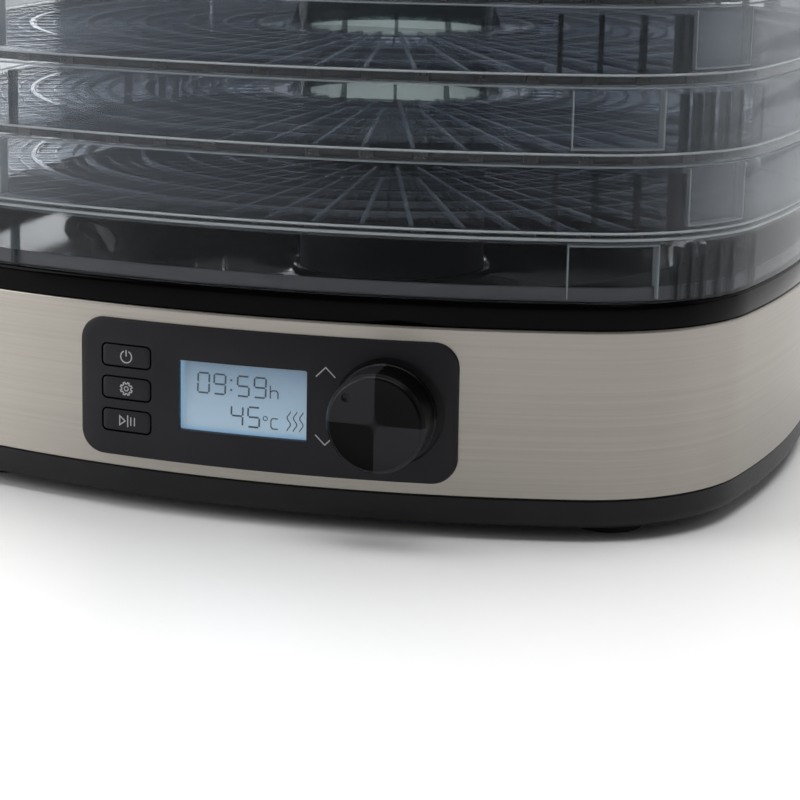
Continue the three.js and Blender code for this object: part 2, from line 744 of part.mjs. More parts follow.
// A clear frame with a ledge round its foot, and the mesh that lies on the ledge.
function tray(index) {
  const low = collarTop + gap + index * trayPitch;
  const floorLow = low + traySkirt;
  const floorTop = floorLow + trayFloor;
  const ledgeTop = floorLow + ledgeThickness;
  const skin = wall(-trayProud, clearWall, low, low + trayPitch - gap);
  const ledge = wall(clearWall / 2 - trayProud, ledgeWidth, floorLow, ledgeTop);
  add(stack, `tray_${index + 1}`, joined([skin, ledge, locatingTabs(floorLow)]), clearSmoke());

  const windows = [
    ...sectors(meshRings[0], meshRings[1], meshSpokes, spokeHalfWidth, floorLow - 1, floorTop + 1),
    ...sectors(meshRings[2], meshRings[3], meshSpokes, spokeHalfWidth, floorLow - 1, floorTop + 1),
  ];
  const hole = circle(trayHoleRadius, trayHoleSteps);
  const rimInset = clearWall - trayProud + gap;
  const innerInset = clearWall / 2 - trayProud + ledgeWidth + gap;
  const rim = prism(outline(rimInset), ledgeTop + gap, floorTop, [hole]);
  const plate = prism(outline(innerInset), floorLow, floorTop, [hole]);
  const ring = tube(
    trayHoleRadius + trayRingWall, trayHoleRadius, floorLow, floorTop + trayRingHeight, trayHoleSteps);
  const mesh = joined([cut(joined([rim, plate]), windows), ring]);
  add(stack, `tray_mesh_${index + 1}`, mesh, clearSmoke());
}

function lid() {
  const low = collarTop + gap + trayCount * trayPitch;
  const top = low + lidRise;
  const crown = (inset, high, round) => {
    const settings = {
      depth: high - low, bevelEnabled: true, bevelSegments: 2,
      bevelSize: round, bevelOffset: -round, bevelThickness: lidRise - traySkirt - clearWall,
    };
    const block = new THREE.ExtrudeGeometry(new THREE.Shape(outline(inset)), settings);
    const thickness = settings.bevelThickness;
    const below = box(4 * halfWidth, 4 * halfWidth, 4 * lidRise, 0, 0, low - 4 * lidRise);
    return solid(block.translate(0, 0, low - thickness)).subtract(below);
  };
  const under = low + traySkirt;
  const outer = crown(-trayProud, top, lidRound);
  const inner = crown(clearWall - trayProud, top - clearWall, lidRound);
  const seat = wall(clearWall / 2 - trayProud, slip + clearWall, under, under + clearWall);
  const grip = cylinder(gripRadius, top - clearWall, top + gripHeight, 0, 0, 20);
  const gripHollow = cylinder(
    gripRadius - clearWall, top - clearWall - 1, top + gripHeight - clearWall, 0, 0, 20);
  const vents = sectors(lidVentInner, lidVentOuter, lidVents, 4, top - 2 * clearWall, top + 1);
  const whole = joined([outer.subtract(inner), locatingTabs(under), seat, grip]);
  add(stack, "lid", cut(whole, [gripHollow, ...vents]), clearSmoke());
}

feet();
bottomPan();
baseScrews();
steelBand();
topDeck();
outletHub();
heater();
fanShroud();
motorBracket();
motor();
impeller();
controlPanel();
display();
buttons();
knob();
boards();
wiring();
cableGland();
collar();
for (let index = 0; index < trayCount; index++) tray(index);
lid();

// The frame's origin is the middle of the footprint, knob and gland included, on the table.
const group = new THREE.Group();
group.add(base, stack);
group.position.y = (frontReach - rearReach) / 2;

export default group;
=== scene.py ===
# Food dehydrator: steel base with a front panel, and clear trays stacked under a vented lid.
import bmesh
import bpy
import json
import math
from mathutils import Matrix, Vector, kdtree


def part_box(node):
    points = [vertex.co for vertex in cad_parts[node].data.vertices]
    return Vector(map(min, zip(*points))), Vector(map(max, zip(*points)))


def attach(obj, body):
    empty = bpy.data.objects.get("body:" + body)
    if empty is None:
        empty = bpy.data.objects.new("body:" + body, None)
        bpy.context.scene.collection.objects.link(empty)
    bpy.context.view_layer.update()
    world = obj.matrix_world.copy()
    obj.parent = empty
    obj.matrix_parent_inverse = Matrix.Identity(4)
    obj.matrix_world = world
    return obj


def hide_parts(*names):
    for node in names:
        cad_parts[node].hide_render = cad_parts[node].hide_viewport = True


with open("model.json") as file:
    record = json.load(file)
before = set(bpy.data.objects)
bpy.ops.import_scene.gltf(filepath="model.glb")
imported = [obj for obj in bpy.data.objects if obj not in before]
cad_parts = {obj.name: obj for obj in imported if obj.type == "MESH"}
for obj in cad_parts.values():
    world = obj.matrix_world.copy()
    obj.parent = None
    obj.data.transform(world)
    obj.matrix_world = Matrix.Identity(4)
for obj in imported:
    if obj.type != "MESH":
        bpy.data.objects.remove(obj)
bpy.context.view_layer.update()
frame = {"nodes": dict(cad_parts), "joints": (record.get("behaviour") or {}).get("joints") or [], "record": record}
cadNodes = frame["nodes"]
mm = 0.001
scene = bpy.context.scene

# The footprint is a square with bowed sides and round corners, about the fan axis.
footprint = {
    "sideRadius": 400.0,
    "sideCentre": 230.0,
    "sideHalfAngle": 15.65,
    "cornerRadius": 68.19,
    "cornerCentre": 89.51,
    "sideSteps": 22,
    "cornerSteps": 16,
}
fanY = frame["joints"][0]["pos_m"][1] / mm  # mm from the frame's middle back to the fan axis
fanCentre = (0, fanY * mm, 0)


# An sRGB hex code as linear colour.
def linear(code):
    values = [int(code[i:i + 2], 16) / 255 for i in (1, 3, 5)]
    return [v / 12.92 if v <= 0.04045 else ((v + 0.055) / 1.055) ** 2.4 for v in values] + [1.0]


# One shader node, with its settings by name or socket number, and what feeds it: a socket, or a
# node for its first output.
def addNode(tree, kind, settings=None, links=None):
    node = tree.nodes.new("ShaderNode" + kind)
    for name, value in (settings or {}).items():
        if isinstance(name, int) or name in node.inputs:
            node.inputs[name].default_value = value
        else:
            setattr(node, name, value)
    for name, source in (links or {}).items():
        socket = source.outputs[0] if hasattr(source, "outputs") else source
        tree.links.new(socket, node.inputs[name])
    return node


def startMaterial(name):
    material = bpy.data.materials.new(name)
    material.use_nodes = True
    tree = material.node_tree
    tree.nodes.clear()
    place = addNode(tree, "TexCoord").outputs["Object"]
    return material, tree, place


def finishMaterial(material, tree, shader):
    addNode(tree, "OutputMaterial", None, {"Surface": shader})
    return material


noiseSpan = {"From Min": 0.3, "From Max": 0.7}  # where nearly all of a noise's values lie


# A map's settings from one span to another, and a colour mix's settings from two hex codes.
def spanTo(low, high, source=noiseSpan):
    return {**source, "To Min": low, "To Max": high}


def tones(dark, light):
    return {"data_type": "RGBA", 6: linear(dark), 7: linear(light)}


# A moulded, painted or plated surface: slow patches between two tones, and a fine grain that
# varies the gloss and the height. Grain and depth are in mm, and patch is in metres.
def surface(name, dark, light, rough, grain, depth, settings=None, patch=0.02):
    material, tree, place = startMaterial(name)
    patches = addNode(tree, "TexNoise", {"Scale": 1 / patch, "Detail": 2.0}, {"Vector": place})
    fine = addNode(tree, "TexNoise", {"Scale": 1 / (grain * mm), "Detail": 2.0}, {"Vector": place})
    share = addNode(tree, "MapRange", noiseSpan, {"Value": patches})
    colour = addNode(tree, "Mix", tones(dark, light), {0: share})
    gloss = addNode(tree, "MapRange", spanTo(*rough), {"Value": fine})
    relief = addNode(tree, "Bump", {"Strength": 0.5, "Distance": depth * mm}, {"Height": fine})
    links = {"Base Color": colour.outputs[2], "Roughness": gloss, "Normal": relief}
    shader = addNode(tree, "BsdfPrincipled", settings, links)
    return finishMaterial(material, tree, shader)


# 430 stainless steel sheet, belt-brushed along its length before it was bent round the base:
# level scratches that stretch each light into a soft upright glare, in a warm grey metal.
# The real scratches are under 0.1 mm wide. They are drawn 0.3 mm wide so that they show.
def makeBrushedSteel():
    material, tree, place = startMaterial("brushed stainless steel")
    fineWay = addNode(tree, "Mapping", {"Scale": (12, 12, 3600)}, {"Vector": place})
    lines = addNode(tree, "TexNoise", {"Scale": 1.0, "Detail": 3.0, "Roughness": 0.6}, {"Vector": fineWay})
    broadWay = addNode(tree, "Mapping", {"Scale": (4, 4, 1100)}, {"Vector": place})
    broad = addNode(tree, "TexNoise", {"Scale": 1.0, "Detail": 2.0}, {"Vector": broadWay})
    both = addNode(tree, "Math", {"operation": "ADD"}, {0: lines, 1: broad})
    share = addNode(tree, "MapRange", {"From Min": 0.7, "From Max": 1.3}, {"Value": both})
    colour = addNode(tree, "Mix", tones("#98938c", "#a19c95"), {0: share})
    gloss = addNode(tree, "MapRange", spanTo(0.36, 0.44), {"Value": lines})
    relief = addNode(tree, "Bump", {"Strength": 0.2, "Distance": 0.02 * mm}, {"Height": lines})
    links = {"Base Color": colour.outputs[2], "Roughness": gloss, "Normal": relief}
    shader = addNode(tree, "BsdfPrincipled", {"Metallic": 1.0}, links)
    return finishMaterial(material, tree, shader)


# Black anodised aluminium, its face turned on a lathe: fine rings under a dark dye. The crossed light
# and dark fans that a spun face reflects are painted into its colour, a painted reflection fixed to the
# knob. The rings are 0.3 mm apart, drawn 0.45 mm apart.
def makeSpunBlack(axis):
    material, tree, place = startMaterial("spun black anodised aluminium")
    centred = addNode(tree, "Mapping", {"Location": (-axis[0], 0, -axis[1])}, {"Vector": place})
    parts = addNode(tree, "SeparateXYZ", None, {0: centred})
    product = addNode(tree, "Math", {"operation": "MULTIPLY"}, {0: parts, 1: parts.outputs[2]})
    edge = (1.2 * mm) ** 2
    # Painted reflection: the sign of x times z picks two light and two dark quadrants, the fans a spun face
    # reflects.
    paintedReflectionFans = addNode(
        tree, "MapRange", {"From Min": -edge, "From Max": edge, "To Min": 1, "To Max": 0},
        {"Value": product})
    flat = addNode(tree, "CombineXYZ", None, {0: parts, 2: parts.outputs[2]})
    reach = addNode(tree, "VectorMath", {"operation": "LENGTH"}, {0: flat})
    rings = addNode(
        tree, "Math", {"operation": "MULTIPLY", 1: 2 * math.pi / (0.45 * mm)},
        {0: reach.outputs["Value"]})
    grooves = addNode(tree, "Math", {"operation": "SINE"}, {0: rings})
    # The dark dye, lightened in two quadrants by the painted reflection fans.
    colour = addNode(tree, "Mix", tones("#040405", "#28282c"), {0: paintedReflectionFans})
    gloss = addNode(
        tree, "MapRange", {"From Min": -1, "From Max": 1, "To Min": 0.3, "To Max": 0.42},
        {"Value": grooves})
    relief = addNode(tree, "Bump", {"Strength": 0.25, "Distance": 0.01 * mm}, {"Height": grooves})
    settings = {"Metallic": 0.3, "Specular IOR Level": 0.12}
    links = {"Base Color": colour.outputs[2], "Roughness": gloss, "Normal": relief}
    shader = addNode(tree, "BsdfPrincipled", settings, links)
    return finishMaterial(material, tree, shader)


# Clear plastic, injection moulded. It is seen through straight on, and turns darker and
# glossier where a wall is seen edge on. Slow waves from the mould bend its reflections.
# Tint is what passes through one face, and least and most are how solid it looks.
def makeClear(name, tint, body, least, most):
    material, tree, place = startMaterial(name)
    waves = addNode(tree, "TexNoise", {"Scale": 45.0, "Detail": 2.0}, {"Vector": place})
    relief = addNode(tree, "Bump", {"Strength": 0.25, "Distance": 0.4 * mm}, {"Height": waves})
    gloss = addNode(tree, "MapRange", spanTo(0.06, 0.13), {"Value": waves})
    through = addNode(tree, "BsdfTransparent", {"Color": linear(tint)})
    solid = addNode(
        tree, "BsdfPrincipled", {"Base Color": linear(body), "IOR": 1.57},
        {"Normal": relief, "Roughness": gloss})
    facing = addNode(tree, "LayerWeight", {"Blend": 0.27})
    share = addNode(tree, "MapRange", spanTo(least, most, {}), {"Value": facing.outputs["Facing"]})
    mixed = addNode(tree, "MixShader", None, {0: share, 1: through, 2: solid})
    return finishMaterial(material, tree, mixed)


# The face of a backlit liquid crystal display: even pale blue, with the lamp strip showing as a
# brighter edge along its left and its foot.
def makeDisplayFace(low, high):
    material, tree, place = startMaterial("backlit liquid crystal")
    parts = addNode(tree, "SeparateXYZ", None, {0: place})
    left = addNode(
        tree, "MapRange",
        {"From Min": low.x + 0.4 * mm, "From Max": low.x + 2.2 * mm, "To Min": 1, "To Max": 0},
        {"Value": parts})
    foot = addNode(
        tree, "MapRange",
        {"From Min": low.z + 0.4 * mm, "From Max": low.z + 2.0 * mm, "To Min": 1, "To Max": 0},
        {"Value": parts.outputs[2]})
    edge = addNode(tree, "Math", {"operation": "MAXIMUM"}, {0: left, 1: foot})
    rise = addNode(tree, "MapRange", {"From Min": high.z, "From Max": low.z}, {"Value": parts.outputs[2]})
    base = addNode(tree, "Mix", tones("#7e8e9f", "#b0c0cd"), {0: rise})
    glow = addNode(tree, "Mix", {"data_type": "RGBA", 7: linear("#9fc2e2")}, {0: edge, 6: base.outputs[2]})
    cells = addNode(tree, "TexNoise", {"Scale": 300.0, "Detail": 2.0}, {"Vector": place})
    gloss = addNode(tree, "MapRange", {"To Min": 0.3, "To Max": 0.4}, {"Value": cells})
    links = {"Base Color": glow.outputs[2], "Emission Color": glow.outputs[2], "Roughness": gloss}
    shader = addNode(tree, "BsdfPrincipled", {"Emission Strength": 0.48}, links)
    return finishMaterial(material, tree, shader)


knobLow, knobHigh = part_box("selector_knob")
knobX = (knobLow.x + knobHigh.x) / 2
knobZ = (knobLow.z + knobHigh.z) / 2
screenLow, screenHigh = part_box("display_window")

brushedSteel = makeBrushedSteel()
spunBlack = makeSpunBlack((knobX, knobZ))
# SAN, a clear stiff plastic, with a little smoke dye: hardly tinted through one wall.
clearSmoke = makeClear("clear smoke SAN", "#f8f9fa", "#adb2b8", 0.013, 0.78)
# The same SAN in the collar, polished on both faces: it hazes less than the trays.
clearCollar = makeClear("polished smoke SAN", "#f8f9fa", "#4f545a", 0.012, 0.75)
# The same SAN where an edge is seen, given a pale body as a painted highlight: the bright line that light carried
# inside the plastic makes at an edge.
paintedEdgeHighlight = makeClear("SAN with painted edge highlight", "#e6eaeb", "#c3c9cc", 0.45, 0.85)
# The same SAN seen along a rib, through several millimetres: its dark body is painted shade, the dark bar that a
# clear rib shows edge on, and it still lets light by.
ribPaintedShade = makeClear("smoke SAN rib, painted shade", "#bcc3c6", "#1b2023", 0.3, 0.85)
# The same SAN in the rings at the middle of the trays: greenish grey through a curved wall.
towerSmoke = makeClear("smoke SAN ring", "#d3dad9", "#3b4345", 0.2, 0.75)
# Cast acrylic over the display: clear, polished and almost without colour.
clearLens = makeClear("clear acrylic lens", "#f4f8fa", "#c8d0d4", 0.03, 0.3)
displayFace = makeDisplayFace(screenLow, screenHigh)
# Smoke SAN in thin ribs set on edge: dark over the black base, and grey where light comes through.
meshSmoke = makeClear("smoke SAN mesh", "#f4f6f9", "#1f2228", 0.09, 0.6)
# Smoke SAN in solid lugs, painted near-black as shade: the dark squares that the lugs show through the wall.
lugPaintedShade = surface("smoke SAN lug, painted shade", "#08090a", "#0e0f11", (0.16, 0.3), 0.8, 0.02, {"IOR": 1.57})
# The tops of the mesh's heavier rings and spokes: a pale grey body painted in as the highlight that their rounded
# tops catch.
gridEdge = makeClear("smoke SAN ring tops, painted highlight", "#f2f4f7", "#9098a1", 0.25, 0.8)
# Smoke SAN in the thick foot of a tray, painted dark as shade: the dark band along a tray's foot. It has a soft
# gloss from the polished mould.
rimPaintedShade = surface(
    "smoke SAN rim, painted shade", "#17191c", "#212428", (0.12, 0.28), 0.8, 0.02, {"Specular IOR Level": 0.3})
# The same SAN where the collar's foot is left rough to grip the deck: a soft frosted grey.
frostedFoot = surface("frosted SAN foot", "#3f3f45", "#48484f", (0.3, 0.42), 0.4, 0.02, {"IOR": 1.57})
# ABS from a polished mould, dyed black: near-black and mirror-like.
glossBlack = surface(
    "gloss black ABS", "#020203", "#040405", (0.06, 0.1), 1.5, 0.002, {"Specular IOR Level": 0.05})
# ABS from a spark-eroded mould, dyed black: a fine even grain that breaks up the gloss.
satinBlack = surface(
    "satin black ABS", "#17171a", "#1d1d20", (0.38, 0.5), 0.5, 0.03, {"Specular IOR Level": 0.2})
# ABS with a soft-touch lacquer: a warm black that hardly shines.
panelBlack = surface(
    "matt panel ABS", "#1a191d", "#1f1e22", (0.42, 0.52), 0.45, 0.015, {"Specular IOR Level": 0.2})
# Two-part ink, pad-printed: flat and a little rough.
printGrey = surface("pad-printed grey ink", "#9b9ba0", "#a9a9ae", (0.5, 0.6), 0.3, 0.005)
# Switched liquid crystal: dark blue-grey, flat in the glass.
segmentGrey = surface("dark liquid crystal", "#3d4c58", "#465661", (0.4, 0.5), 0.3, 0.001)
# Nitrile rubber, compression moulded: dull, with a fine bloom.
footRubber = surface("moulded rubber", "#121214", "#1b1b1d", (0.75, 0.9), 0.7, 0.05)
# Mild steel, bright zinc-plated: a cool grey metal with faint cloudy patches.
zincSteel = surface("zinc-plated steel", "#9da0a1", "#b4b6b6", (0.28, 0.42), 0.6, 0.01, {"Metallic": 1.0})
# Bronze powder pressed and sintered, soaked in oil: a dull brown-gold with open pores.
sinteredBronze = surface("sintered bronze", "#8a6a3c", "#a07e4a", (0.4, 0.6), 0.3, 0.03, {"Metallic": 1.0})
# Mica flakes bonded into board: warm cream with a pearly skin.
micaSheet = surface("mica board", "#b7a98c", "#d0c4a8", (0.3, 0.5), 1.2, 0.05, {"Coat Weight": 0.2})
# Epoxy solder mask, screen-printed over a glass laminate: green with the copper's faint relief.
solderMask = surface("green solder mask", "#0e4a22", "#14602e", (0.25, 0.35), 1.0, 0.02)
# Glass-filled polyester relay case, moulded: clean mid blue.
blueCase = surface("blue polyester case", "#1d4b8c", "#2456a0", (0.25, 0.35), 0.8, 0.01)
# PVC insulation and polyamide terminals: dark blue with a waxy gloss.
blueSheath = surface("blue insulation", "#1b3c7c", "#24489a", (0.3, 0.42), 0.8, 0.02)
# Silicone rubber sleeve, extruded: dull brick red.
redSilicone = surface("red silicone sheath", "#8c1a14", "#a5231b", (0.4, 0.55), 0.8, 0.02)
# PVC ribbon cable, extruded: grey, ridged at the 1.27 mm spacing of its wires.
greyRibbon = surface("grey ribbon cable", "#77787b", "#8a8b8e", (0.4, 0.5), 1.27, 0.1)
# Painted board under the object: matt and almost even.
studioFloor = surface("matt white board", "#f1f1f1", "#f4f4f4", (0.3, 0.4), 4.0, 0.01, None, 0.4)
print("materials made")

slotLooks = {
    "casing_black": satinBlack,
    "deck_gloss": glossBlack,
    "panel_black": panelBlack,
    "knob_black": spunBlack,
    "brushed_band": brushedSteel,
    "tray_clear": clearSmoke,
    "display_clear": clearLens,
    "display_grey": displayFace,
    "foot_rubber": footRubber,
    "bare_steel": zincSteel,
    "bronze": sinteredBronze,
    "mica": micaSheet,
    "board_green": solderMask,
    "relay_blue": blueCase,
    "terminal_blue": blueSheath,
    "lead_red": redSilicone,
    "ribbon_grey": greyRibbon,
}
for part in frame["record"]["subparts"]:
    mesh = cadNodes[part["node"]].data
    mesh.materials.clear()
    mesh.materials.append(slotLooks[part["material_slot"]])


def deselect():
    bpy.ops.object.select_all(action="DESELECT")


def choose(piece):
    deselect()
    piece.select_set(True)
    bpy.context.view_layer.objects.active = piece


# The footprint's point whose outward normal turns by this many degrees from the front.
def edgePoint(turn, inset, z):
    quarter = math.floor((turn + 45) / 90)
    local = turn - 90 * quarter
    half = footprint["sideHalfAngle"]
    side = max(-half, min(half, local))
    if abs(local) <= half:
        reach = footprint["sideRadius"] - inset
        x = reach * math.sin(math.radians(local))
        y = footprint["sideCentre"] - reach * math.cos(math.radians(local))
    else:
        reach = footprint["cornerRadius"] - inset
        x = math.copysign(footprint["cornerCentre"], side) + reach * math.sin(math.radians(local))
        y = -footprint["cornerCentre"] - reach * math.cos(math.radians(local))
    c, s = math.cos(math.radians(90 * quarter)), math.sin(math.radians(90 * quarter))
    return Vector(((x * c - y * s) * mm, (x * s + y * c + fanY) * mm, z * mm))


def edgeTurns():
    turns = []
    half = footprint["sideHalfAngle"]
    for quarter in range(4):
        for i in range(footprint["sideSteps"]):
            turns.append(90 * quarter - half + 2 * half * i / footprint["sideSteps"])
        for i in range(footprint["cornerSteps"]):
            turns.append(90 * quarter + half + (90 - 2 * half) * i / footprint["cornerSteps"])
    return turns


def edgeLoop(inset, z):
    return [edgePoint(turn, inset, z) for turn in edgeTurns()]


# One loop of the footprint for each pair of inset and height.
def edgeLoops(*pairs):
    return [edgeLoop(inset, z) for inset, z in pairs]


# A circle about the fan axis, with its points in line with the footprint's.
def innerLoop(radius, z):
    loop = []
    for turn in edgeTurns():
        point = edgePoint(turn, 0, z)
        flat = Vector((point.x, point.y - fanY * mm)).normalized() * radius * mm
        loop.append(Vector((flat.x, flat.y + fanY * mm, z * mm)))
    return loop


def innerLoops(*pairs):
    return [innerLoop(radius, z) for radius, z in pairs]


def circleLoop(centre, axis, radius, along, steps):
    loop = []
    for i in range(steps):
        a = 2 * math.pi * i / steps
        u, v = radius * math.cos(a) * mm, radius * math.sin(a) * mm
        offset = Vector((u, v, 0)) if axis == "z" else Vector((u, 0, v))
        lift = Vector((0, 0, along * mm)) if axis == "z" else Vector((0, along * mm, 0))
        loop.append(Vector(centre) + offset + lift)
    return loop


# Extrudes a circle's edge from loop to loop. The ends are filled, or joined to make a ring.
def loft(name, loops, ring=False, smooth=35):
    deselect()
    bpy.ops.mesh.primitive_circle_add(vertices=len(loops[0]), radius=0.01)
    piece = bpy.context.object
    piece.name = name
    piece.data.name = name
    for vertex, place in zip(piece.data.vertices, loops[0]):
        vertex.co = place
    bpy.ops.object.mode_set(mode="EDIT")
    bpy.ops.mesh.select_all(action="SELECT")
    if not ring:
        bpy.ops.mesh.edge_face_add()
        bpy.ops.mesh.select_all(action="DESELECT")
        data = bmesh.from_edit_mesh(piece.data)
        for edge in data.edges:
            edge.select_set(True)
    path = list(loops[1:]) + ([loops[0]] if ring else [])
    last = loops[0]
    for loop in path:
        bpy.ops.mesh.extrude_edges_move()
        tree = kdtree.KDTree(len(last))
        for i, place in enumerate(last):
            tree.insert(place, i)
        tree.balance()
        data = bmesh.from_edit_mesh(piece.data)
        for vertex in data.verts:
            if vertex.select:
                vertex.co = loop[tree.find(vertex.co)[1]]
        bmesh.update_edit_mesh(piece.data)
        last = loop
    if not ring:
        bpy.ops.mesh.edge_face_add()
    bpy.ops.mesh.select_all(action="SELECT")
    bpy.ops.mesh.remove_doubles(threshold=0.000002)
    bpy.ops.mesh.normals_make_consistent(inside=False)
    bpy.ops.object.mode_set(mode="OBJECT")
    if smooth:
        bpy.ops.object.shade_smooth_by_angle(angle=math.radians(smooth))
    return piece


def turned(name, centre, axis, profile, steps=64, ring=False, smooth=35):
    loops = [circleLoop(centre, axis, radius, along, steps) for radius, along in profile]
    return loft(name, loops, ring, smooth)


def join(name, pieces):
    deselect()
    for piece in pieces:
        piece.select_set(True)
    bpy.context.view_layer.objects.active = pieces[0]
    if len(pieces) > 1:
        bpy.ops.object.join()
    joined = bpy.context.object
    joined.name = name
    joined.data.name = name
    return joined


# Cuts one piece out of another, and shades the result smooth up to an angle.
def cut(piece, cutter, smooth=0):
    choose(piece)
    bpy.ops.object.modifier_add(type="BOOLEAN")
    modifier = piece.modifiers[-1]
    modifier.operation = "DIFFERENCE"
    modifier.solver = "EXACT"
    modifier.object = cutter
    bpy.ops.object.modifier_apply(modifier=modifier.name)
    bpy.data.objects.remove(cutter)
    if smooth:
        bpy.ops.object.shade_smooth_by_angle(angle=math.radians(smooth))


# A block with its corners at two points, edges bevelled.
def block(name, low, high, bevel=0.3):
    deselect()
    bpy.ops.mesh.primitive_cube_add(size=1)
    piece = bpy.context.object
    piece.name = name
    for vertex in piece.data.vertices:
        vertex.co = [low[i] * mm if vertex.co[i] < 0 else high[i] * mm for i in range(3)]
    if bevel:
        bpy.ops.object.mode_set(mode="EDIT")
        bpy.ops.mesh.select_all(action="SELECT")
        bpy.ops.mesh.bevel(offset=bevel * mm, segments=2)
        bpy.ops.object.mode_set(mode="OBJECT")
    return piece


# Turns a piece's mesh by degrees from the world's axis, and carries it to the fan axis.
def spun(piece, degrees):
    piece.data.transform(Matrix.Translation(fanCentre) @ Matrix.Rotation(math.radians(degrees), 4, "Z"))
    return piece


# A copy with its own mesh, carried through a change of place.
def another(piece, name, change):
    copy = piece.copy()
    copy.data = piece.data.copy()
    copy.name = name
    copy.data.name = name
    copy.data.transform(change)
    scene.collection.objects.link(copy)
    return copy


def finished(piece, body, look, replaced=()):
    piece.data.materials.clear()
    piece.data.materials.append(look)
    for face in piece.data.polygons:
        face.material_index = 0
    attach(piece, body)
    if replaced:
        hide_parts(*replaced)
    return piece


def levels(node):
    low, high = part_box(node)
    return low.z / mm, high.z / mm


def flatBox(node):
    low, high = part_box(node)
    return (low.x / mm, low.z / mm), (high.x / mm, high.z / mm)


# A flat box made smaller by a margin on each side.
def shrunk(box, margin):
    low, high = box
    return (low[0] + margin, low[1] + margin), (high[0] - margin, high[1] - margin)


# The middle of a node's box, and half its width in mm.
def roundBox(node):
    low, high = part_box(node)
    return (low + high) / 2, (high.x - low.x) / 2 / mm


panel = {"corner": 8.5, "bevel": 0.9, "proud": 1.2, "depth": 5.0, "bend": 4.0}


# A rounded rectangle facing the front, drawn flat. Its depth is how far it stands out.
def plateLoop(low, high, corner, inset, proud, steps=8):
    loop = []
    r = max(corner - inset, 0.05)
    centres = ((high[0] - inset - r, high[1] - inset - r), (low[0] + inset + r, high[1] - inset - r),
               (low[0] + inset + r, low[1] + inset + r), (high[0] - inset - r, low[1] + inset + r))
    for quarter, (x, z) in enumerate(centres):
        for i in range(steps + 1):
            a = math.radians(90 * quarter + 90 * i / steps)
            loop.append(Vector(((x + r * math.cos(a)) * mm, -proud * mm, (z + r * math.sin(a)) * mm)))
    return loop


def plate(name, low, high, corner, back, front, bevel, steps=8):
    k = bevel * 0.3
    loops = [
        plateLoop(low, high, corner, 0, back, steps), plateLoop(low, high, corner, 0, front - bevel, steps),
        plateLoop(low, high, corner, k, front - k, steps), plateLoop(low, high, corner, bevel, front, steps),
    ]
    return loft(name, loops, smooth=0)


band = {"wall": 1.0, "draft": 1.66, "roll": 0.7, "panelLap": 1.2}


def makeBand():
    low, high = levels("steel_band")
    d, w, r = band["draft"], band["wall"], band["roll"]
    loops = edgeLoops(
        (d + w, low), (d + 0.3, low), (d, low + 0.3), (d * 0.5, (low + high) / 2), (r * 0.1, high - r * 1.4),
        (r * 0.05, high - r), (r * 0.35, high - r * 0.3), (r, high),
        (w + 0.4, high - 0.2), (w + 0.4, high - 2), (d + w, low + 2))
    piece = loft("bandSheet", loops, ring=True)
    lap = band["panelLap"]
    window = shrunk(flatBox("control_panel"), lap)
    hole = plate("panelHole", *window, panel["corner"] - lap, 130, 190, 0.01)
    cut(piece, hole, 35)
    return finished(piece, "base", brushedSteel, ["steel_band"])


fitGap = 0.3  # between one moulding and the next

pan = {"inset": 2.0, "round": 4.2, "floor": 2.0, "wall": 2.0, "step": 2.6, "slots": 10, "slot": (22, 38, 2.0)}


def makePan():
    low, high = levels("bottom_pan")
    lip = levels("steel_band")[0] - fitGap
    floor = low + pan["floor"]
    i, r, w, step = pan["inset"], pan["round"], pan["wall"], pan["step"]
    turns = [math.radians(18 * k) for k in range(6)]
    outside = [(i + r - r * math.sin(a), low + r - r * math.cos(a)) for a in turns]
    loops = edgeLoops(
        (i + r + 6, low), *outside, (i, lip - 0.4), (i + 0.4, lip), (i + step, lip), (i + step, high),
        (i + step + w, high), (i + step + w, low + r), (i + 4 + w, floor), (i + 12 + w, floor))
    piece = loft("basePan", loops)
    inner, outer, half = pan["slot"]
    slots = []
    for k in range(pan["slots"]):
        slot = block("slot", (inner, -half, low - 5), (outer, half, floor + 5), 1.2)
        slots.append(spun(slot, 360 * k / pan["slots"]))
    cut(piece, join("slots", slots), 30)
    return finished(piece, "base", satinBlack, ["bottom_pan"])


foot = {"rim": 1.2, "recess": 0.8, "pad": 4.0, "stem": 3.5}


def makeFeet():
    for node in ("foot_front_left", "foot_front_right", "foot_rear_right", "foot_rear_left"):
        middle, radius = roundBox(node)
        pad, stem = foot["pad"], foot["stem"]
        profile = [
            (radius * 0.55, foot["recess"]), (radius * 0.62, 0.1), (radius - foot["rim"], 0),
            (radius - 0.3, 0.4), (radius, 1.2), (radius - 0.5, pad), (stem, pad), (stem, levels(node)[1]),
        ]
        piece = turned(node + "_pad", (middle.x, middle.y, 0), "z", profile, 48)
        finished(piece, "base", footRubber, [node])


deck = {
    "rim": 0.4,
    "lipInset": 3.4,
    "lipWall": 1.8,
    "dishRadius": 128.0,
    "dishFloorRadius": 114.0,
    "wall": 2.0,
    "seat": (38.5, 40.3, 4.0),  # the ring round the hub: its inner and outer radius, and its height
    "hole": 33.0,
}


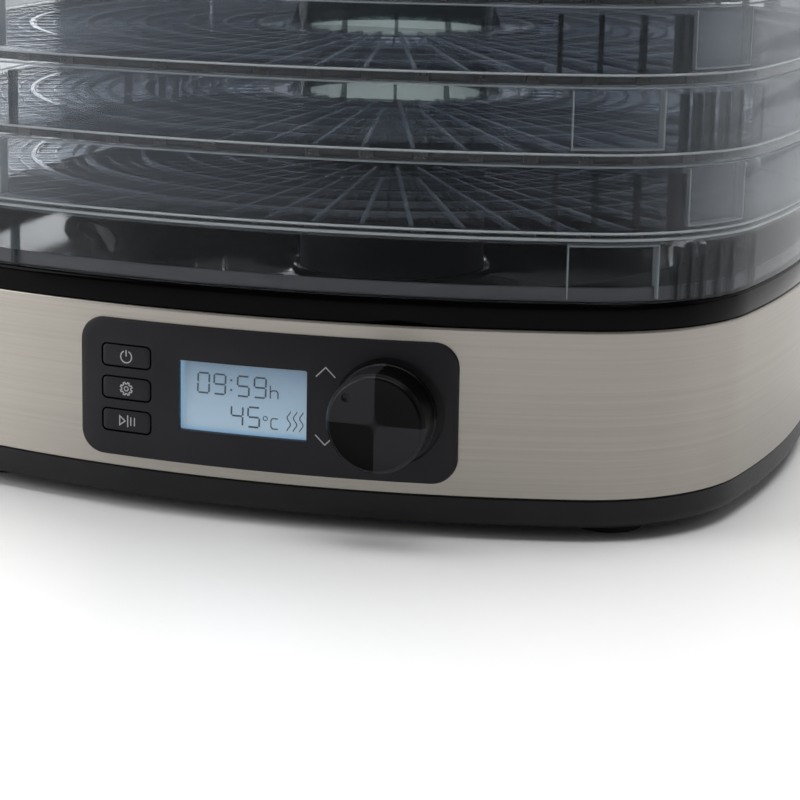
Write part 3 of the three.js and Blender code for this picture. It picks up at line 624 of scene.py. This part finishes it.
def makeDeck():
    high = levels("top_deck")[1]
    rimLow, rimTop = levels("steel_band")[1] + fitGap, levels("collar")[0] - fitGap
    plate = rimTop - 6.0
    floor = levels("outlet_hub")[0] - fitGap
    under = floor - deck["wall"]
    e, l, w = deck["rim"], deck["lipInset"], deck["lipWall"]
    outer, inner, hole = deck["dishRadius"], deck["dishFloorRadius"], deck["hole"]
    near, far, tall = deck["seat"]
    slope = []
    for share in (0, 0.04, 0.12, 0.25, 0.45, 0.65, 0.8, 0.9, 0.96, 1.0):
        ease = share * share * (3 - 2 * share)
        slope.append((outer - (outer - inner) * share, plate - (plate - floor) * ease))
    rim = edgeLoops(
        (e + 0.3, rimLow), (e, rimLow + 0.5), (e, rimTop - 1.0), (e + 0.12, rimTop - 0.5),
        (e + 0.5, rimTop - 0.1), (e + 1.0, rimTop), (l, rimTop), (l, high - 0.5), (l + 0.5, high),
        (l + w - 0.5, high), (l + w, high - 0.5), (l + w, plate + 1.5), (l + w + 1.5, plate),
        (l + w + 6, plate))
    dish = innerLoops(
        (outer + 4, plate), *slope, (60, floor), (far + 0.9, floor), (far, floor + 0.6),
        (far, floor + tall - 0.6), (far - 0.5, floor + tall), (near + 0.5, floor + tall),
        (near, floor + tall - 0.6), (near, floor + 0.1), (hole, floor), (hole, under),
        (inner + 1, under), (outer + 1.5, plate - 2.5))
    skirt = edgeLoops((12, plate - 2.5), (9.5, rimLow))
    piece = loft("deckMoulding", rim + dish + skirt, ring=True)
    return finished(piece, "base", glossBlack, ["top_deck"])


hub = {"bars": 6, "rings": (12.0, 24.0), "line": 0.9, "wall": 2.0}


def makeHub():
    low, high = levels("outlet_hub")
    radius = roundBox("outlet_hub")[1]
    inside, line = radius - hub["wall"], hub["line"]
    wall = [
        (radius, low), (radius, high - 2.2), (radius - 0.3, high - 1.1), (radius - 1.0, high - 0.3),
        (radius - 2.0, high), (radius - 3.0, high), (radius - 3.4, high - 0.5), (inside, high - 3.0),
        (inside, low),
    ]
    parts = [turned("hubWall", fanCentre, "z", wall, 96, ring=True)]
    for reach in hub["rings"]:
        a, b = reach - line, reach + line
        ring = [(a, high - 3.6), (b, high - 3.6), (b, high - 1.4), (a, high - 1.4)]
        parts.append(turned("hubRing", fanCentre, "z", ring, 72, ring=True))
    for k in range(hub["bars"]):
        bar = block("bar", (-radius + 1.5, -line, high - 3.4), (radius - 1.5, line, high - 1.2), 0.3)
        parts.append(spun(bar, 180 * k / hub["bars"]))
    return finished(join("outletTower", parts), "base", satinBlack, ["outlet_hub"])


gland = {"ribs": 4, "pitch": 1.5, "taper": 0.8, "tip": 4.4, "wall": 1.4}


def makeGland():
    low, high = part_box("cable_gland")
    middle, radius = roundBox("cable_gland")
    start, end = low.y / mm, high.y / mm
    tip, bore = gland["tip"], gland["tip"] - gland["wall"]
    neck = radius - 3
    profile = [(bore, start), (neck, start), (neck, end - 8.6), (radius, end - 8.0), (radius, end - 6.4)]
    for k in range(gland["ribs"]):
        y = end - 5.8 + k * gland["pitch"]
        r = radius - 2.6 - k * gland["taper"]
        profile += [(r - 0.7, y - 0.1), (r - 0.7, y + 0.4), (r, y + 0.6), (r, y + 1.2)]
    profile += [(tip, end), (bore, end)]
    piece = turned("cordGland", (middle.x, 0, middle.z), "y", profile, 40, ring=True)
    return finished(piece, "base", footRubber, ["cable_gland"])


makeBand()
makePan()
makeFeet()
makeDeck()
makeHub()
makeGland()
print("base made")


# Cuts a flat piece into upright strips and wraps it round the front.
def wrapped(piece, smooth=30):
    choose(piece)
    bpy.ops.object.mode_set(mode="EDIT")
    xs = [v.co.x for v in piece.data.vertices]
    step = panel["bend"] * mm
    first = math.ceil(min(xs) / step)
    last = math.floor(max(xs) / step)
    for k in range(first, last + 1):
        bpy.ops.mesh.select_all(action="SELECT")
        bpy.ops.mesh.bisect(plane_co=(k * step, 0, 0), plane_no=(1, 0, 0))
    bpy.ops.object.mode_set(mode="OBJECT")
    for vertex in piece.data.vertices:
        reach = footprint["sideRadius"] * mm - vertex.co.y
        y = footprint["sideCentre"] * mm - math.sqrt(reach * reach - vertex.co.x ** 2)
        vertex.co.y = y + fanY * mm
    piece.data.update()
    if smooth:
        bpy.ops.object.shade_smooth_by_angle(angle=math.radians(smooth))
    return piece


screen = {"corner": 0.8, "deep": -0.9, "lens": 0.45, "lensCorner": 0.62}
knob = {"bevel": 1.0, "dimple": (-9.8, 8.4), "dimpleRadius": 1.5, "recess": (18.6, 0.5)}
buttonNames = ("power_button", "settings_button", "start_button")
button = {"corner": 1.6, "bevel": 0.45, "gap": 0.55, "proud": 1.25}


def makePanel():
    low, high = flatBox("control_panel")
    body = plate("fasciaMoulding", low, high, panel["corner"], panel["proud"] - panel["depth"],
                 panel["proud"], panel["bevel"], 12)
    holes = []
    for node in buttonNames:
        around = shrunk(flatBox(node), -button["gap"])
        holes.append(plate("hole", *around, button["corner"] + button["gap"], -10, 10, 0.01))
    holes.append(plate("hole", *flatBox("display_window"), screen["corner"], -10, 10, 0.01))
    recess, depth = knob["recess"]
    holes.append(turned("hole", (knobX, 0, knobZ), "y", [(recess, -depth), (recess, -10)], 64, smooth=0))
    cut(body, join("holes", holes))
    wrapped(body)
    return finished(body, "base", panelBlack, ["control_panel"])


# A thin raised line of even width along a path on the flat front, given as (x, z) points.
def stroke(name, path, width, low, high, shut=False):
    loops = []
    count = len(path)
    for i in range(count):
        before = Vector(path[i - 1] if shut or i > 0 else path[0])
        after = Vector(path[(i + 1) % count] if shut or i < count - 1 else path[-1])
        here = Vector(path[i])
        first = (here - before).normalized() if (here - before).length > 0 else (after - here).normalized()
        second = (after - here).normalized() if (after - here).length > 0 else first
        way = (first + second).normalized() if (first + second).length > 0.01 else first
        across = Vector((-way.y, way.x)) * width / 2 / max(0.4, way.dot(second))
        a, b = here + across, here - across
        loops.append([Vector((a.x, -low, a.y)) * mm, Vector((b.x, -low, b.y)) * mm,
                      Vector((b.x, -high, b.y)) * mm, Vector((a.x, -high, a.y)) * mm])
    return loft(name, loops, ring=shut, smooth=0)


def upright(name, x, foot, top, width, low, high):
    return stroke(name, [(x, foot), (x, top)], width, low, high)


def arc(x, z, radius, start, end, steps):
    turns = [math.radians(start + (end - start) * i / steps) for i in range(steps + 1)]
    return [(x + radius * math.cos(t), z + radius * math.sin(t)) for t in turns]


icon = {"line": 0.42, "lift": 0.05, "radius": 2.1}


def buttonIcon(node, x, z):
    w, r = icon["line"], icon["radius"]
    low, high = button["proud"] - 0.05, button["proud"] + icon["lift"]
    if node == "power_button":
        return [stroke("icon", arc(x, z - 0.2, r, 115, 425, 26), w, low, high),
                upright("icon", x, z - 0.1, z + 2.2, w, low, high)]
    if node == "settings_button":
        teeth = []
        for k in range(8):
            for offset, reach in ((-13, 1.75), (-8, 2.3), (8, 2.3), (13, 1.75)):
                t = math.radians(45 * k + offset + 22.5)
                teeth.append((x + reach * math.cos(t), z + reach * math.sin(t)))
        return [stroke("icon", teeth, w, low, high, True),
                stroke("icon", arc(x, z, 0.75, 0, 342, 19), w * 0.9, low, high, True)]
    left = x - 2.6
    marks = [stroke("icon", [(left, z - 1.6), (left + 2.1, z), (left, z + 1.6)], w, low, high, True)]
    for along, half in ((3.1, 2.1), (4.3, 1.5), (5.7, 1.5)):
        marks.append(upright("icon", left + along, z - half, z + half, w, low, high))
    return marks


def makeButtons():
    for node in buttonNames:
        low, high = flatBox(node)
        cap = plate(node + "_cap", low, high, button["corner"], -2.4, button["proud"], button["bevel"])
        finished(wrapped(cap), node, panelBlack, [node])
        marks = join(node + "_icon", buttonIcon(node, (low[0] + high[0]) / 2, (low[1] + high[1]) / 2))
        finished(wrapped(marks, 0), node, printGrey)


chevron = {"x": 22.9, "tips": ((57.7, 1), (30.9, -1)), "half": 3.3, "rise": 3.3, "line": 0.4}


def makeChevrons():
    x, h, r = chevron["x"], chevron["half"], chevron["rise"]
    low, high = panel["proud"] - 0.05, panel["proud"] + 0.04
    marks = []
    for tip, way in chevron["tips"]:
        path = [(x - h, tip - r * way), (x, tip), (x + h, tip - r * way)]
        marks.append(stroke("chevron", path, chevron["line"], low, high))
    finished(wrapped(join("stepMarks", marks), 0), "base", printGrey)


digits = {
    "0": "abcdef", "9": "abcdfg", "5": "acdfg", "4": "bcfg",
    "size": (4.1, 6.9), "line": 0.62, "gap": 0.28, "slant": 0.03,
}


# One seven-segment digit on the flat front, its lower left corner at x, z.
def digit(sign, x, z, low, high):
    w, h = digits["size"]
    g = digits["gap"]
    half = h / 2
    ends = {
        "a": ((g, h), (w - g, h)), "b": ((w, half + g), (w, h - g)), "c": ((w, g), (w, half - g)),
        "d": ((g, 0), (w - g, 0)), "e": ((0, g), (0, half - g)), "f": ((0, half + g), (0, h - g)),
        "g": ((g, half), (w - g, half)),
    }
    lines = []
    for segment in digits[sign]:
        path = [(x + u + v * digits["slant"], z + v) for u, v in ends[segment]]
        lines.append(stroke("segment", path, digits["line"], low, high))
    return lines


def wave(x, z, height):
    return [(x + 0.6 * math.cos(3 * math.pi * (1 - i / 16)), z + height * i / 16) for i in range(17)]


# What the display shows, in mm from its left edge and above the foot of each row. The rows' feet
# are measured down from its top.
shown = {
    "time": {"foot": 11.1, "digits": (("0", 6.4), ("9", 12.3), ("5", 20.8), ("9", 26.8))},
    "dots": {"span": (18.3, 19.0), "heights": (5.2, 1.8), "line": 0.7},
    "hours": {"stem": (32.6, 4.5), "arch": ((32.6, 2.3), (33.4, 2.8), (34.7, 2.8), (35.3, 2.2), (35.3, 0)),
              "line": 0.45},
    "heat": {"foot": 21.6, "digits": (("4", 18.6), ("5", 24.6))},
    "degree": {"middle": (30.9, 3.4), "radius": 0.75, "line": 0.32},
    "celsius": {"path": ((35.4, 3.6), (33.5, 3.6), (32.9, 3.0), (32.9, 0.6), (33.5, 0), (35.4, 0)),
                "line": 0.42},
    "waves": {"places": (39.2, 41.4, 43.6), "drop": 0.3, "height": 6.9, "line": 0.38},
}


def makeDisplay():
    box = flatBox("display_window")
    left, top = box[0][0], box[1][1]
    deep = screen["deep"]
    face = plate("displayGlass", *shrunk(box, 0.05), 0.6, deep - 1.0, deep, 0.05)
    finished(wrapped(face), "base", displayFace)
    a, b = deep - 0.02, deep + 0.05
    marks = []
    foot = top - shown["time"]["foot"]
    for sign, x in shown["time"]["digits"]:
        marks += digit(sign, left + x, foot, a, b)
    dots = shown["dots"]
    for z in dots["heights"]:
        path = [(left + x, foot + z) for x in dots["span"]]
        marks.append(stroke("dot", path, dots["line"], a, b))
    hours = shown["hours"]
    x, tall = hours["stem"]
    marks.append(upright("letter", left + x, foot, foot + tall, hours["line"], a, b))
    arch = [(left + x, foot + z) for x, z in hours["arch"]]
    marks.append(stroke("letter", arch, hours["line"], a, b))
    foot = top - shown["heat"]["foot"]
    for sign, x in shown["heat"]["digits"]:
        marks += digit(sign, left + x, foot, a, b)
    x, z = shown["degree"]["middle"]
    ring = arc(left + x, foot + z, shown["degree"]["radius"], 0, 330, 11)
    marks.append(stroke("degree", ring, shown["degree"]["line"], a, b, True))
    letter = [(left + x, foot + z) for x, z in shown["celsius"]["path"]]
    marks.append(stroke("letter", letter, shown["celsius"]["line"], a, b))
    waves = shown["waves"]
    for x in waves["places"]:
        path = wave(left + x, foot - waves["drop"], waves["height"])
        marks.append(stroke("warmth", path, waves["line"], a, b))
    finished(wrapped(join("displaySegments", marks), 0), "base", segmentGrey)
    lens = plate("displayLens", *shrunk(box, 0.1), screen["lensCorner"], deep + 0.4, screen["lens"], 0.3)
    finished(wrapped(lens), "base", clearLens, ["display_window"])


def makeKnob():
    front, rear = knobLow.y / mm, knobHigh.y / mm
    base = roundBox("selector_knob")[1]
    face = base - 1.1
    b = knob["bevel"]
    profile = [
        (3.2, rear), (base - 1.5, rear), (base, rear - 0.8), (base, rear - 2.0), (base - 0.35, rear - 2.4),
        (base - 0.5, front + b + 1.0), (face, front + b), (face - 0.2, front + b * 0.6),
        (face - 0.75, front + 0.12), (face - 1.0, front), (face - 1.35, front + 0.1),
        (face * 0.5, front + 0.1), (0.4, front + 0.1),
    ]
    piece = turned("selectorDial", (knobX, 0, knobZ), "y", profile, 128, smooth=28)
    x, z = knob["dimple"]
    r = knob["dimpleRadius"]
    bowl = [(r * 0.3, front + 1.0), (r * 0.75, front + 0.7), (r, front + 0.1), (r * 1.1, front - 1)]
    cut(piece, turned("dimple", (knobX + x * mm, 0, knobZ + z * mm), "y", bowl, 32, smooth=0), 28)
    return finished(piece, "knob", spunBlack, ["selector_knob"])


makePanel()
makeButtons()
makeChevrons()
makeDisplay()
makeKnob()
print("panel made")

clear = {
    "proud": 1.15,
    "wall": 2.0,
    "bead": 0.35,
    "rib": 1.5,
    "ribDepth": 3.6,
    "pocketDepth": 3.2,
    "pocketEdge": 0.5,
    "backing": 0.6,
    "floorRise": 3.8,
    "skirt": {"inset": 2.65, "wall": 0.5, "height": 5.2},
}


# Ribs and pockets at a corner, by how far the outward normal has turned from the front.
# Each corner has ribs on one half and a pocket on the other, and the next layer is turned round.
cornerRibs = {"front": (13.9, 16.4, 28.5, 39.5, 42.5), "side": (42.4, 47.0, 51.5, 58.0, 64.0, 75.0)}
cornerPocket = {"front": (14.6, 35.4), "side": (44.5, 67.5)}
otherKind = {"ribs": "pocket", "pocket": "ribs"}


# A curved block that follows the footprint between two turns.
def curvedBlock(name, start, end, outerInset, innerInset, low, high, steps=10):
    loops = []
    for i in range(steps + 1):
        turn = start + (end - start) * i / steps
        loops.append([edgePoint(turn, outerInset, low), edgePoint(turn, innerInset, low),
                      edgePoint(turn, innerInset, high), edgePoint(turn, outerInset, high)])
    return loft(name, loops, smooth=30)


# An upright rib inside the wall at one turn.
def wallRib(turn, low, high, depth, thick):
    back = clear["backing"]
    step = (edgePoint(turn + 0.5, back, 0) - edgePoint(turn, back, 0)).length / mm
    half = thick / 2 * 0.5 / step
    return curvedBlock("rib", turn - half, turn + half, back, back + depth, low, high, 1)


# A shallow box on the inside of the wall: its clear front, and the edges round it, which get the painted edge
# highlight.
def pocket(start, end, low, high, openBelow=False):
    d, back, edge = clear["pocketDepth"], clear["backing"], clear["pocketEdge"]
    front = curvedBlock("pocket", start, end, back + d, back + d + 1.0, low, high, 12)
    foot = high - edge if openBelow else low
    edges = [
        wallRib(start, low, high, d + 0.9, edge),
        wallRib(end, low, high, d + 0.9, edge),
        curvedBlock("pocket", start, end, back, back + d + 1.1, foot, foot + edge, 12),
    ]
    return front, edges


# The corner pattern, kind "ribs" having its ribs on the front half of the front right corner.
def cornerParts(kind, low, high, openBelow=False):
    ribs, fronts, edges = [], [], []
    for corner in range(4):
        flipped = corner in (1, 3)
        front = kind if corner in (0, 3) else otherKind[kind]
        for half, content in (("front", front), ("side", otherKind[front])):
            source = cornerRibs if content == "ribs" else cornerPocket
            if flipped:
                turns = [90 * corner + 90 - t for t in source["side" if half == "front" else "front"]]
            else:
                turns = [90 * corner + t for t in source[half]]
            if content == "ribs":
                ribs += [wallRib(t, low, high - 3, clear["ribDepth"], clear["rib"]) for t in turns]
            else:
                made = pocket(min(turns), max(turns), low + 1, high - 1.5, openBelow)
                fronts.append(made[0])
                edges += made[1]
    return ribs, fronts, edges


def makeCollar():
    low, high = levels("collar")
    p, w = clear["proud"], clear["wall"]
    start = 0.5
    loops = edgeLoops(
        (start + 0.2, low), (start, low + 0.4), (-p * 0.4, (low + high) / 2), (-p, high - 1.6),
        (-p - 0.15, high - 1.0), (-p - 0.1, high - 0.4), (-p + 0.4, high), (w - p - 0.4, high),
        (w - p, high - 0.4), (w - p * 0.4, (low + high) / 2), (start + w, low + 0.2), (start + w - 0.3, low))
    finished(loft("collarWall", loops, ring=True), "collar", clearCollar, ["collar"])
    ribs, fronts, edges = cornerParts("pocket", low + 0.5, high - 1.0, True)
    edges.append(edgeBead("bead", -p - 0.2, w - 0.2, high - 0.9, high))
    skirt = clear["skirt"]
    foot = edgeBead("collarFoot", skirt["inset"], skirt["wall"], low + 0.4, low + skirt["height"])
    finished(foot, "collar", frostedFoot)
    finished(join("collarRibs", ribs), "collar", ribPaintedShade)
    finished(join("collarPockets", fronts), "collar", clearCollar)
    # The collar's pocket edges and top bead get the painted edge highlight.
    finished(join("collarEdges", edges), "collar", paintedEdgeHighlight)


# A narrow ring that follows the footprint: most carry the painted edge highlight, and one is the collar's frosted
# foot.
def edgeBead(name, near, width, low, high):
    k = min(0.2, (high - low) / 3)
    far = near + width
    loops = edgeLoops(
        (near + k, low), (near, low + k), (near, high - k), (near + k, high),
        (far - k, high), (far, high - k), (far, low + k), (far - k, low))
    return loft(name, loops, ring=True)


def trayWall(low, high):
    p, w, bead = clear["proud"], clear["wall"], clear["bead"]
    floor = low + clear["floorRise"]
    loops = edgeLoops(
        (-p + 0.2, low), (-p, low + 0.3), (-p, floor - 0.7), (-p - bead, floor - 0.4),
        (-p - bead, floor + 0.1), (-p, floor + 0.4), (-p, high - 1.2), (-p + 0.25, high - 0.3),
        (-p + 0.7, high), (w - p - 0.4, high), (w - p, high - 0.4), (w - p, floor + 0.8),
        (w - p, low + 0.3), (w - p - 0.2, low))
    return loft("trayWall", loops, ring=True)


lugs = {"spacing": 18.0, "wide": 5.0}
ledge = {"wide": 7.5, "thick": 1.2, "rise": 1.8}


# The foot of a tray: the ledge under the mesh, and the lugs that centre it on the tray below.
def trayRim(low):
    w = clear["wall"] - clear["proud"]
    top, under = low + clear["floorRise"] - 0.9, low + ledge["rise"]
    back, inner, far = w + 0.6, w + 0.6 + ledge["thick"], w + ledge["wide"]
    loops = edgeLoops(
        (back + 0.2, low + 0.3), (back, low + 0.6), (back, top), (far, top), (far, under), (inner, under),
        (inner, low + 0.3))
    shelf = loft("ledge", loops, ring=True)
    parts = []
    turns = edgeTurns()
    walked = 0.0
    count = 0
    for i, turn in enumerate(turns):
        ahead = turns[(i + 1) % len(turns)] + (360 if i + 1 == len(turns) else 0)
        length = (edgePoint(ahead, 0, 0) - edgePoint(turn, 0, 0)).length / mm
        while walked + length > count * lugs["spacing"]:
            share = (count * lugs["spacing"] - walked) / length
            here = turn + (ahead - turn) * share
            half = (ahead - turn) / length * lugs["wide"] / 2
            parts.append(curvedBlock("lug", here - half, here + half, w + 0.05, w + 0.9, low + 0.2, top, 1))
            count += 1
        walked += length
    return shelf, join("lugs", parts)


grid = {
    "coarseRings": (54.0, 68.0, 83.5, 100.5, 122.5, 143.5),
    "fineStep": 7.1,
    "fineRibs": 64,
    "spokes": 64,
    "coarseWide": 1.7,
    "fineWide": 0.8,
    "hubRadius": 36.8,
    "hubWall": 1.8,
    "hubHeight": 12.0,
    "gussets": 12,
    "thick": 2.0,
    "fineReach": 158.0,
    "fineStart": 54.0,
    "shortSpoke": 68.0,
    "spokeWide": 1.5,
    "rimBars": ((1.2, 4.0), (6.0, 1.0), (11.5, 1.0), (17.5, 1.0)),  # each one's inset and width
}


def ringBar(radius, width, low, high, steps=96):
    near, far = radius - width / 2, radius + width / 2
    profile = [(near, low), (near, high), (far, high), (far, low)]
    return turned("gridRing", fanCentre, "z", profile, steps, ring=True)


# How far out a rib in this direction goes before it meets the rim.
def reachAt(angle, inset):
    best = None
    for turn in edgeTurns():
        point = edgePoint(turn, inset, 0)
        x, y = point.x / mm, point.y / mm - fanY
        gap = abs((math.degrees(math.atan2(y, x)) - angle + 180) % 360 - 180)
        if best is None or gap < best[0]:
            best = (gap, math.hypot(x, y))
    return best[1]


def radialBar(angle, start, end, width, low, high):
    return spun(block("bar", (start, -width / 2, low), (end, width / 2, high), 0), angle)


def trayGrid(low):
    floor = low + clear["floorRise"]
    under = floor - grid["thick"]
    h, w, tall = grid["hubRadius"], grid["hubWall"], floor + grid["hubHeight"]
    ring = [(h, under), (h, tall - 0.5), (h + 0.5, tall), (h + w - 0.5, tall), (h + w, tall - 0.6),
            (h + w, under)]
    parts = []
    coarse = []
    tower = [turned("gridHub", fanCentre, "z", ring, 96, ring=True)]
    for radius in grid["coarseRings"]:
        coarse.append(ringBar(radius, grid["coarseWide"], under, floor))
    radius = h + w + 4
    while radius < grid["fineReach"]:
        parts.append(ringBar(radius, grid["fineWide"], under + 0.2, floor - 0.25))
        radius += grid["fineStep"]
    for near, width in grid["rimBars"]:
        far = near + width
        loops = edgeLoops((near, floor - 0.8), (near, floor), (far, floor), (far, floor - 0.8))
        parts.append(loft("gridEdge", loops, ring=True))
    for k in range(grid["spokes"]):
        angle = -90 + 360 * k / grid["spokes"]
        start = grid["shortSpoke"] if k % 2 == 0 else h + w - 0.5
        end = reachAt((angle + 180) % 360 - 180, 3)
        coarse.append(radialBar(angle, start, end, grid["spokeWide"], under, floor + 0.05))
    for k in range(grid["fineRibs"]):
        angle = -90 + 360 * (k + 0.5) / grid["fineRibs"]
        end = reachAt((angle + 180) % 360 - 180, 3)
        parts.append(radialBar(angle, grid["fineStart"], end, grid["fineWide"], under + 0.2, floor - 0.2))
    for k in range(grid["gussets"]):
        gusset = block(
            "gusset", (h + w - 0.2, -0.7, under), (h + w + 3.2, 0.7, floor + grid["hubHeight"] * 0.55), 0)
        for vertex in gusset.data.vertices:
            if vertex.co.x > (h + w + 1) * mm and vertex.co.z > floor * mm:
                vertex.co.x = (h + w + 0.6) * mm
        tower.append(spun(gusset, 360 * (k + 0.5) / grid["gussets"]))
    return join("trayGrid", parts), join("trayRings", coarse), join("trayTower", tower)


def makeTrays():
    low = levels("tray_1")[0]
    p, w, bead = clear["proud"], clear["wall"], clear["bead"]
    tall = levels("tray_2")[0] - fitGap
    floor = low + clear["floorRise"]
    wall = trayWall(low, tall)
    shelf, studs = trayRim(low)
    fine, coarse, tower = trayGrid(low)
    # The heavier rings and spokes get the pale ring-top material, a painted highlight.
    models = {"wall": (wall, clearSmoke), "rim": (shelf, rimPaintedShade), "lugs": (studs, lugPaintedShade),
              "grid": (fine, meshSmoke), "rings": (coarse, gridEdge), "tower": (tower, towerSmoke)}
    stands = {"wall": "tray_{}", "grid": "tray_mesh_{}"}
    corners = {}
    for kind in ("ribs", "pocket"):
        ribs, fronts, edges = cornerParts(kind, floor, tall)
        # The beads at the floor line and along the top, with the pocket edges, get the painted edge highlight.
        edges.append(edgeBead("bead", -p - bead - 0.05, 1.2, floor - 0.45, floor + 0.15))
        edges.append(edgeBead("bead", -p + 0.5, w - 0.7, tall - 0.5, tall + 0.05))
        corners[kind] = {
            "ribs": (join("ribs", ribs), ribPaintedShade), "pockets": (join("pockets", fronts), clearSmoke),
            "edges": (join("edges", edges), paintedEdgeHighlight),
        }
    for k in range(1, 6):
        lift = Matrix.Translation((0, 0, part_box(f"tray_mesh_{k}")[1].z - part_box("tray_mesh_1")[1].z))
        kind = "ribs" if k % 2 else "pocket"
        for part, (model, look) in {**models, **corners[kind]}.items():
            replaced = [stands[part].format(k)] if part in stands else []
            finished(another(model, f"tray_{k}_{part}", lift), f"tray_{k}", look, replaced)
    for group in (models, *corners.values()):
        for model, look in group.values():
            bpy.data.objects.remove(model)


lidShape = {
    "round": 9.0,
    "vents": 8,
    "ventHalfAngle": 15,
    "ventInner": 26.0,
    "ventOuter": 46.0,
    "rimGap": 2.5,
    "grip": 17.0,
    "gripHeight": 9.0,
    "gripBore": 2.0,
    "steps": 8,
}


# A point at a radius and a turn about the fan axis.
def spot(radius, turn, z):
    angle = math.radians(turn)
    return Vector((radius * math.cos(angle) * mm, (radius * math.sin(angle) + fanY) * mm, z * mm))


def makeLid():
    low = levels("tray_5")[1] + fitGap
    high = levels("lid")[1]
    top = high - lidShape["gripHeight"]
    p, w = clear["proud"], clear["wall"]
    g, bore = lidShape["grip"], lidShape["gripBore"]
    outside, inside = [], []
    for i in range(lidShape["steps"] + 1):
        a = math.radians(90 * i / lidShape["steps"])
        z = top - (top - low) * 0.75 * (1 - math.sin(a))
        outside.append((-p + lidShape["round"] * (1 - math.cos(a)), z))
        inside.insert(0, (outside[-1][0] + w, z - w))
    crown = innerLoops(
        (120, top), (60, top), (20, top), (g, top + 1.0), (g, high - 1.5), (g - 0.5, high - 0.4),
        (g - 1.5, high), (g - 4, high - 0.6), (bore, high - 0.9), (bore, high - 0.9 - w), (g - w, high - w - 0.9),
        (g - w, top - w + 1), (22, top - w), (120, top - w))
    loops = edgeLoops((-p, low), *outside) + crown + edgeLoops(*inside[:-1], (w - p, low + 1.0), (w - p, low))
    piece = loft("lidShell", loops, ring=True)
    cutters = []
    half = lidShape["ventHalfAngle"]
    turns = [half * (i / 5 - 1) for i in range(11)]
    for k in range(lidShape["vents"]):
        middle = 360 * (k + 0.5) / lidShape["vents"]
        points = [(lidShape["ventOuter"], middle + t) for t in turns]
        points += [(lidShape["ventInner"], middle - t) for t in turns]
        loop = []
        for z in (top - 5, top + 3):
            loop.append([spot(r, turn, z) for r, turn in points])
        cutters.append(loft("vent", loop, smooth=0))
    cut(piece, join("vents", cutters), 30)
    finished(piece, "lid", clearSmoke, ["lid"])
    # The lid's rim bead and the rings round its vents and grip get the painted edge highlight.
    rims = [edgeBead("bead", -p - 0.1, 1.0, low, low + 0.7)]
    inner, outer = lidShape["ventInner"] - lidShape["rimGap"], lidShape["ventOuter"] + lidShape["rimGap"]
    for radius, z in ((inner, top), (outer, top), (g - 1.2, high - 0.3)):
        near, far = radius - 0.5, radius + 0.5
        profile = [(near, z - 0.3), (near, z + 0.3), (radius, z + 0.55), (far, z + 0.3), (far, z - 0.3)]
        rims.append(turned("rim", fanCentre, "z", profile, 96, ring=True))
    finished(join("lidEdges", rims), "lid", paintedEdgeHighlight)


makeCollar()
print("collar made")
makeTrays()
print("trays made")
makeLid()
print("lid made")

stageSize = 3.4
deselect()
bpy.ops.mesh.primitive_plane_add(size=stageSize, location=(0, 0, 0))
floorPiece = bpy.context.object
floorPiece.name = "studioFloor"
floorPiece.data.materials.append(studioFloor)

view = {
    "azimuth": 16.5,
    "elevation": 12.11,
    "distance": 945.6,
    "slide": (-28.66, 39.92),
    "roll": 0.77,
    "focal": 2.874375,  # in widths of the frame
    "sensor": 36,
    "shift": (0.1, -0.1125),
}


def makeCamera():
    a, e = math.radians(view["azimuth"]), math.radians(view["elevation"])
    back = Vector((math.sin(a) * math.cos(e), -math.cos(a) * math.cos(e), math.sin(e)))
    right = Vector((math.cos(a), math.sin(a), 0))
    up = back.cross(right)
    place = back * view["distance"] + right * view["slide"][0] + up * view["slide"][1]
    c, s = math.cos(math.radians(view["roll"])), math.sin(math.radians(view["roll"]))
    side, top = c * right + s * up, c * up - s * right
    bpy.ops.object.camera_add()
    camera = bpy.context.object
    camera.name = "mainCamera"
    camera.data.sensor_width = view["sensor"]
    camera.data.lens = view["focal"] * view["sensor"]
    camera.data.shift_x, camera.data.shift_y = view["shift"]
    camera.data.clip_start = 0.05
    turn = Matrix((side, top, back)).transposed().to_4x4()
    camera.matrix_world = Matrix.Translation((place + Vector((0, fanY, 0))) * mm) @ turn
    scene.camera = camera


lights = [
    {"name": "overhead", "place": (0.0, 0.15, 1.6), "aim": (0, 0, 0.1), "size": (2.0, 1.6), "power": 42},
    {"name": "leftBox", "place": (-1.7, -1.0, 0.9), "aim": (0, 0, 0.1), "size": (1.0, 1.6), "power": 20},
    {"name": "rightBox", "place": (2.0, 0.4, 0.8), "aim": (0, 0, 0.1), "size": (1.2, 1.6), "power": 4},
    {"name": "backLeftBox", "place": (-2.3, 2.3, 0.9), "aim": (0, 0, 0.2), "size": (2.4, 1.8), "power": 60},
    {"name": "backRightBox", "place": (1.4, 2.3, 0.9), "aim": (0, 0, 0.2), "size": (2.8, 1.8), "power": 14},
]


def makeLights():
    for light in lights:
        bpy.ops.object.light_add(type="AREA", location=light["place"])
        lamp = bpy.context.object
        lamp.name = light["name"]
        lamp.data.shape = "RECTANGLE"
        lamp.data.size, lamp.data.size_y = light["size"]
        lamp.data.energy = light["power"]
        lamp.visible_camera = False
        aim = Vector(light["aim"]) - Vector(light["place"])
        lamp.rotation_euler = aim.to_track_quat("-Z", "Y").to_euler()
    world = bpy.data.worlds.new("paleStudio")
    scene.world = world
    world.use_nodes = True
    tree = world.node_tree
    tree.nodes.clear()
    seen = addNode(tree, "Background", {"Color": (1, 1, 1, 1), "Strength": 1.0})
    soft = addNode(tree, "Background", {"Color": (1, 1, 1, 1), "Strength": 0.11})
    path = addNode(tree, "LightPath")
    mixed = addNode(tree, "MixShader", None, {0: path.outputs["Is Camera Ray"], 1: soft, 2: seen})
    addNode(tree, "OutputWorld", None, {"Surface": mixed})
    scene.view_settings.view_transform = "Standard"
    scene.cycles.transparent_max_bounces = 56


makeCamera()
makeLights()
print("camera and lights made")
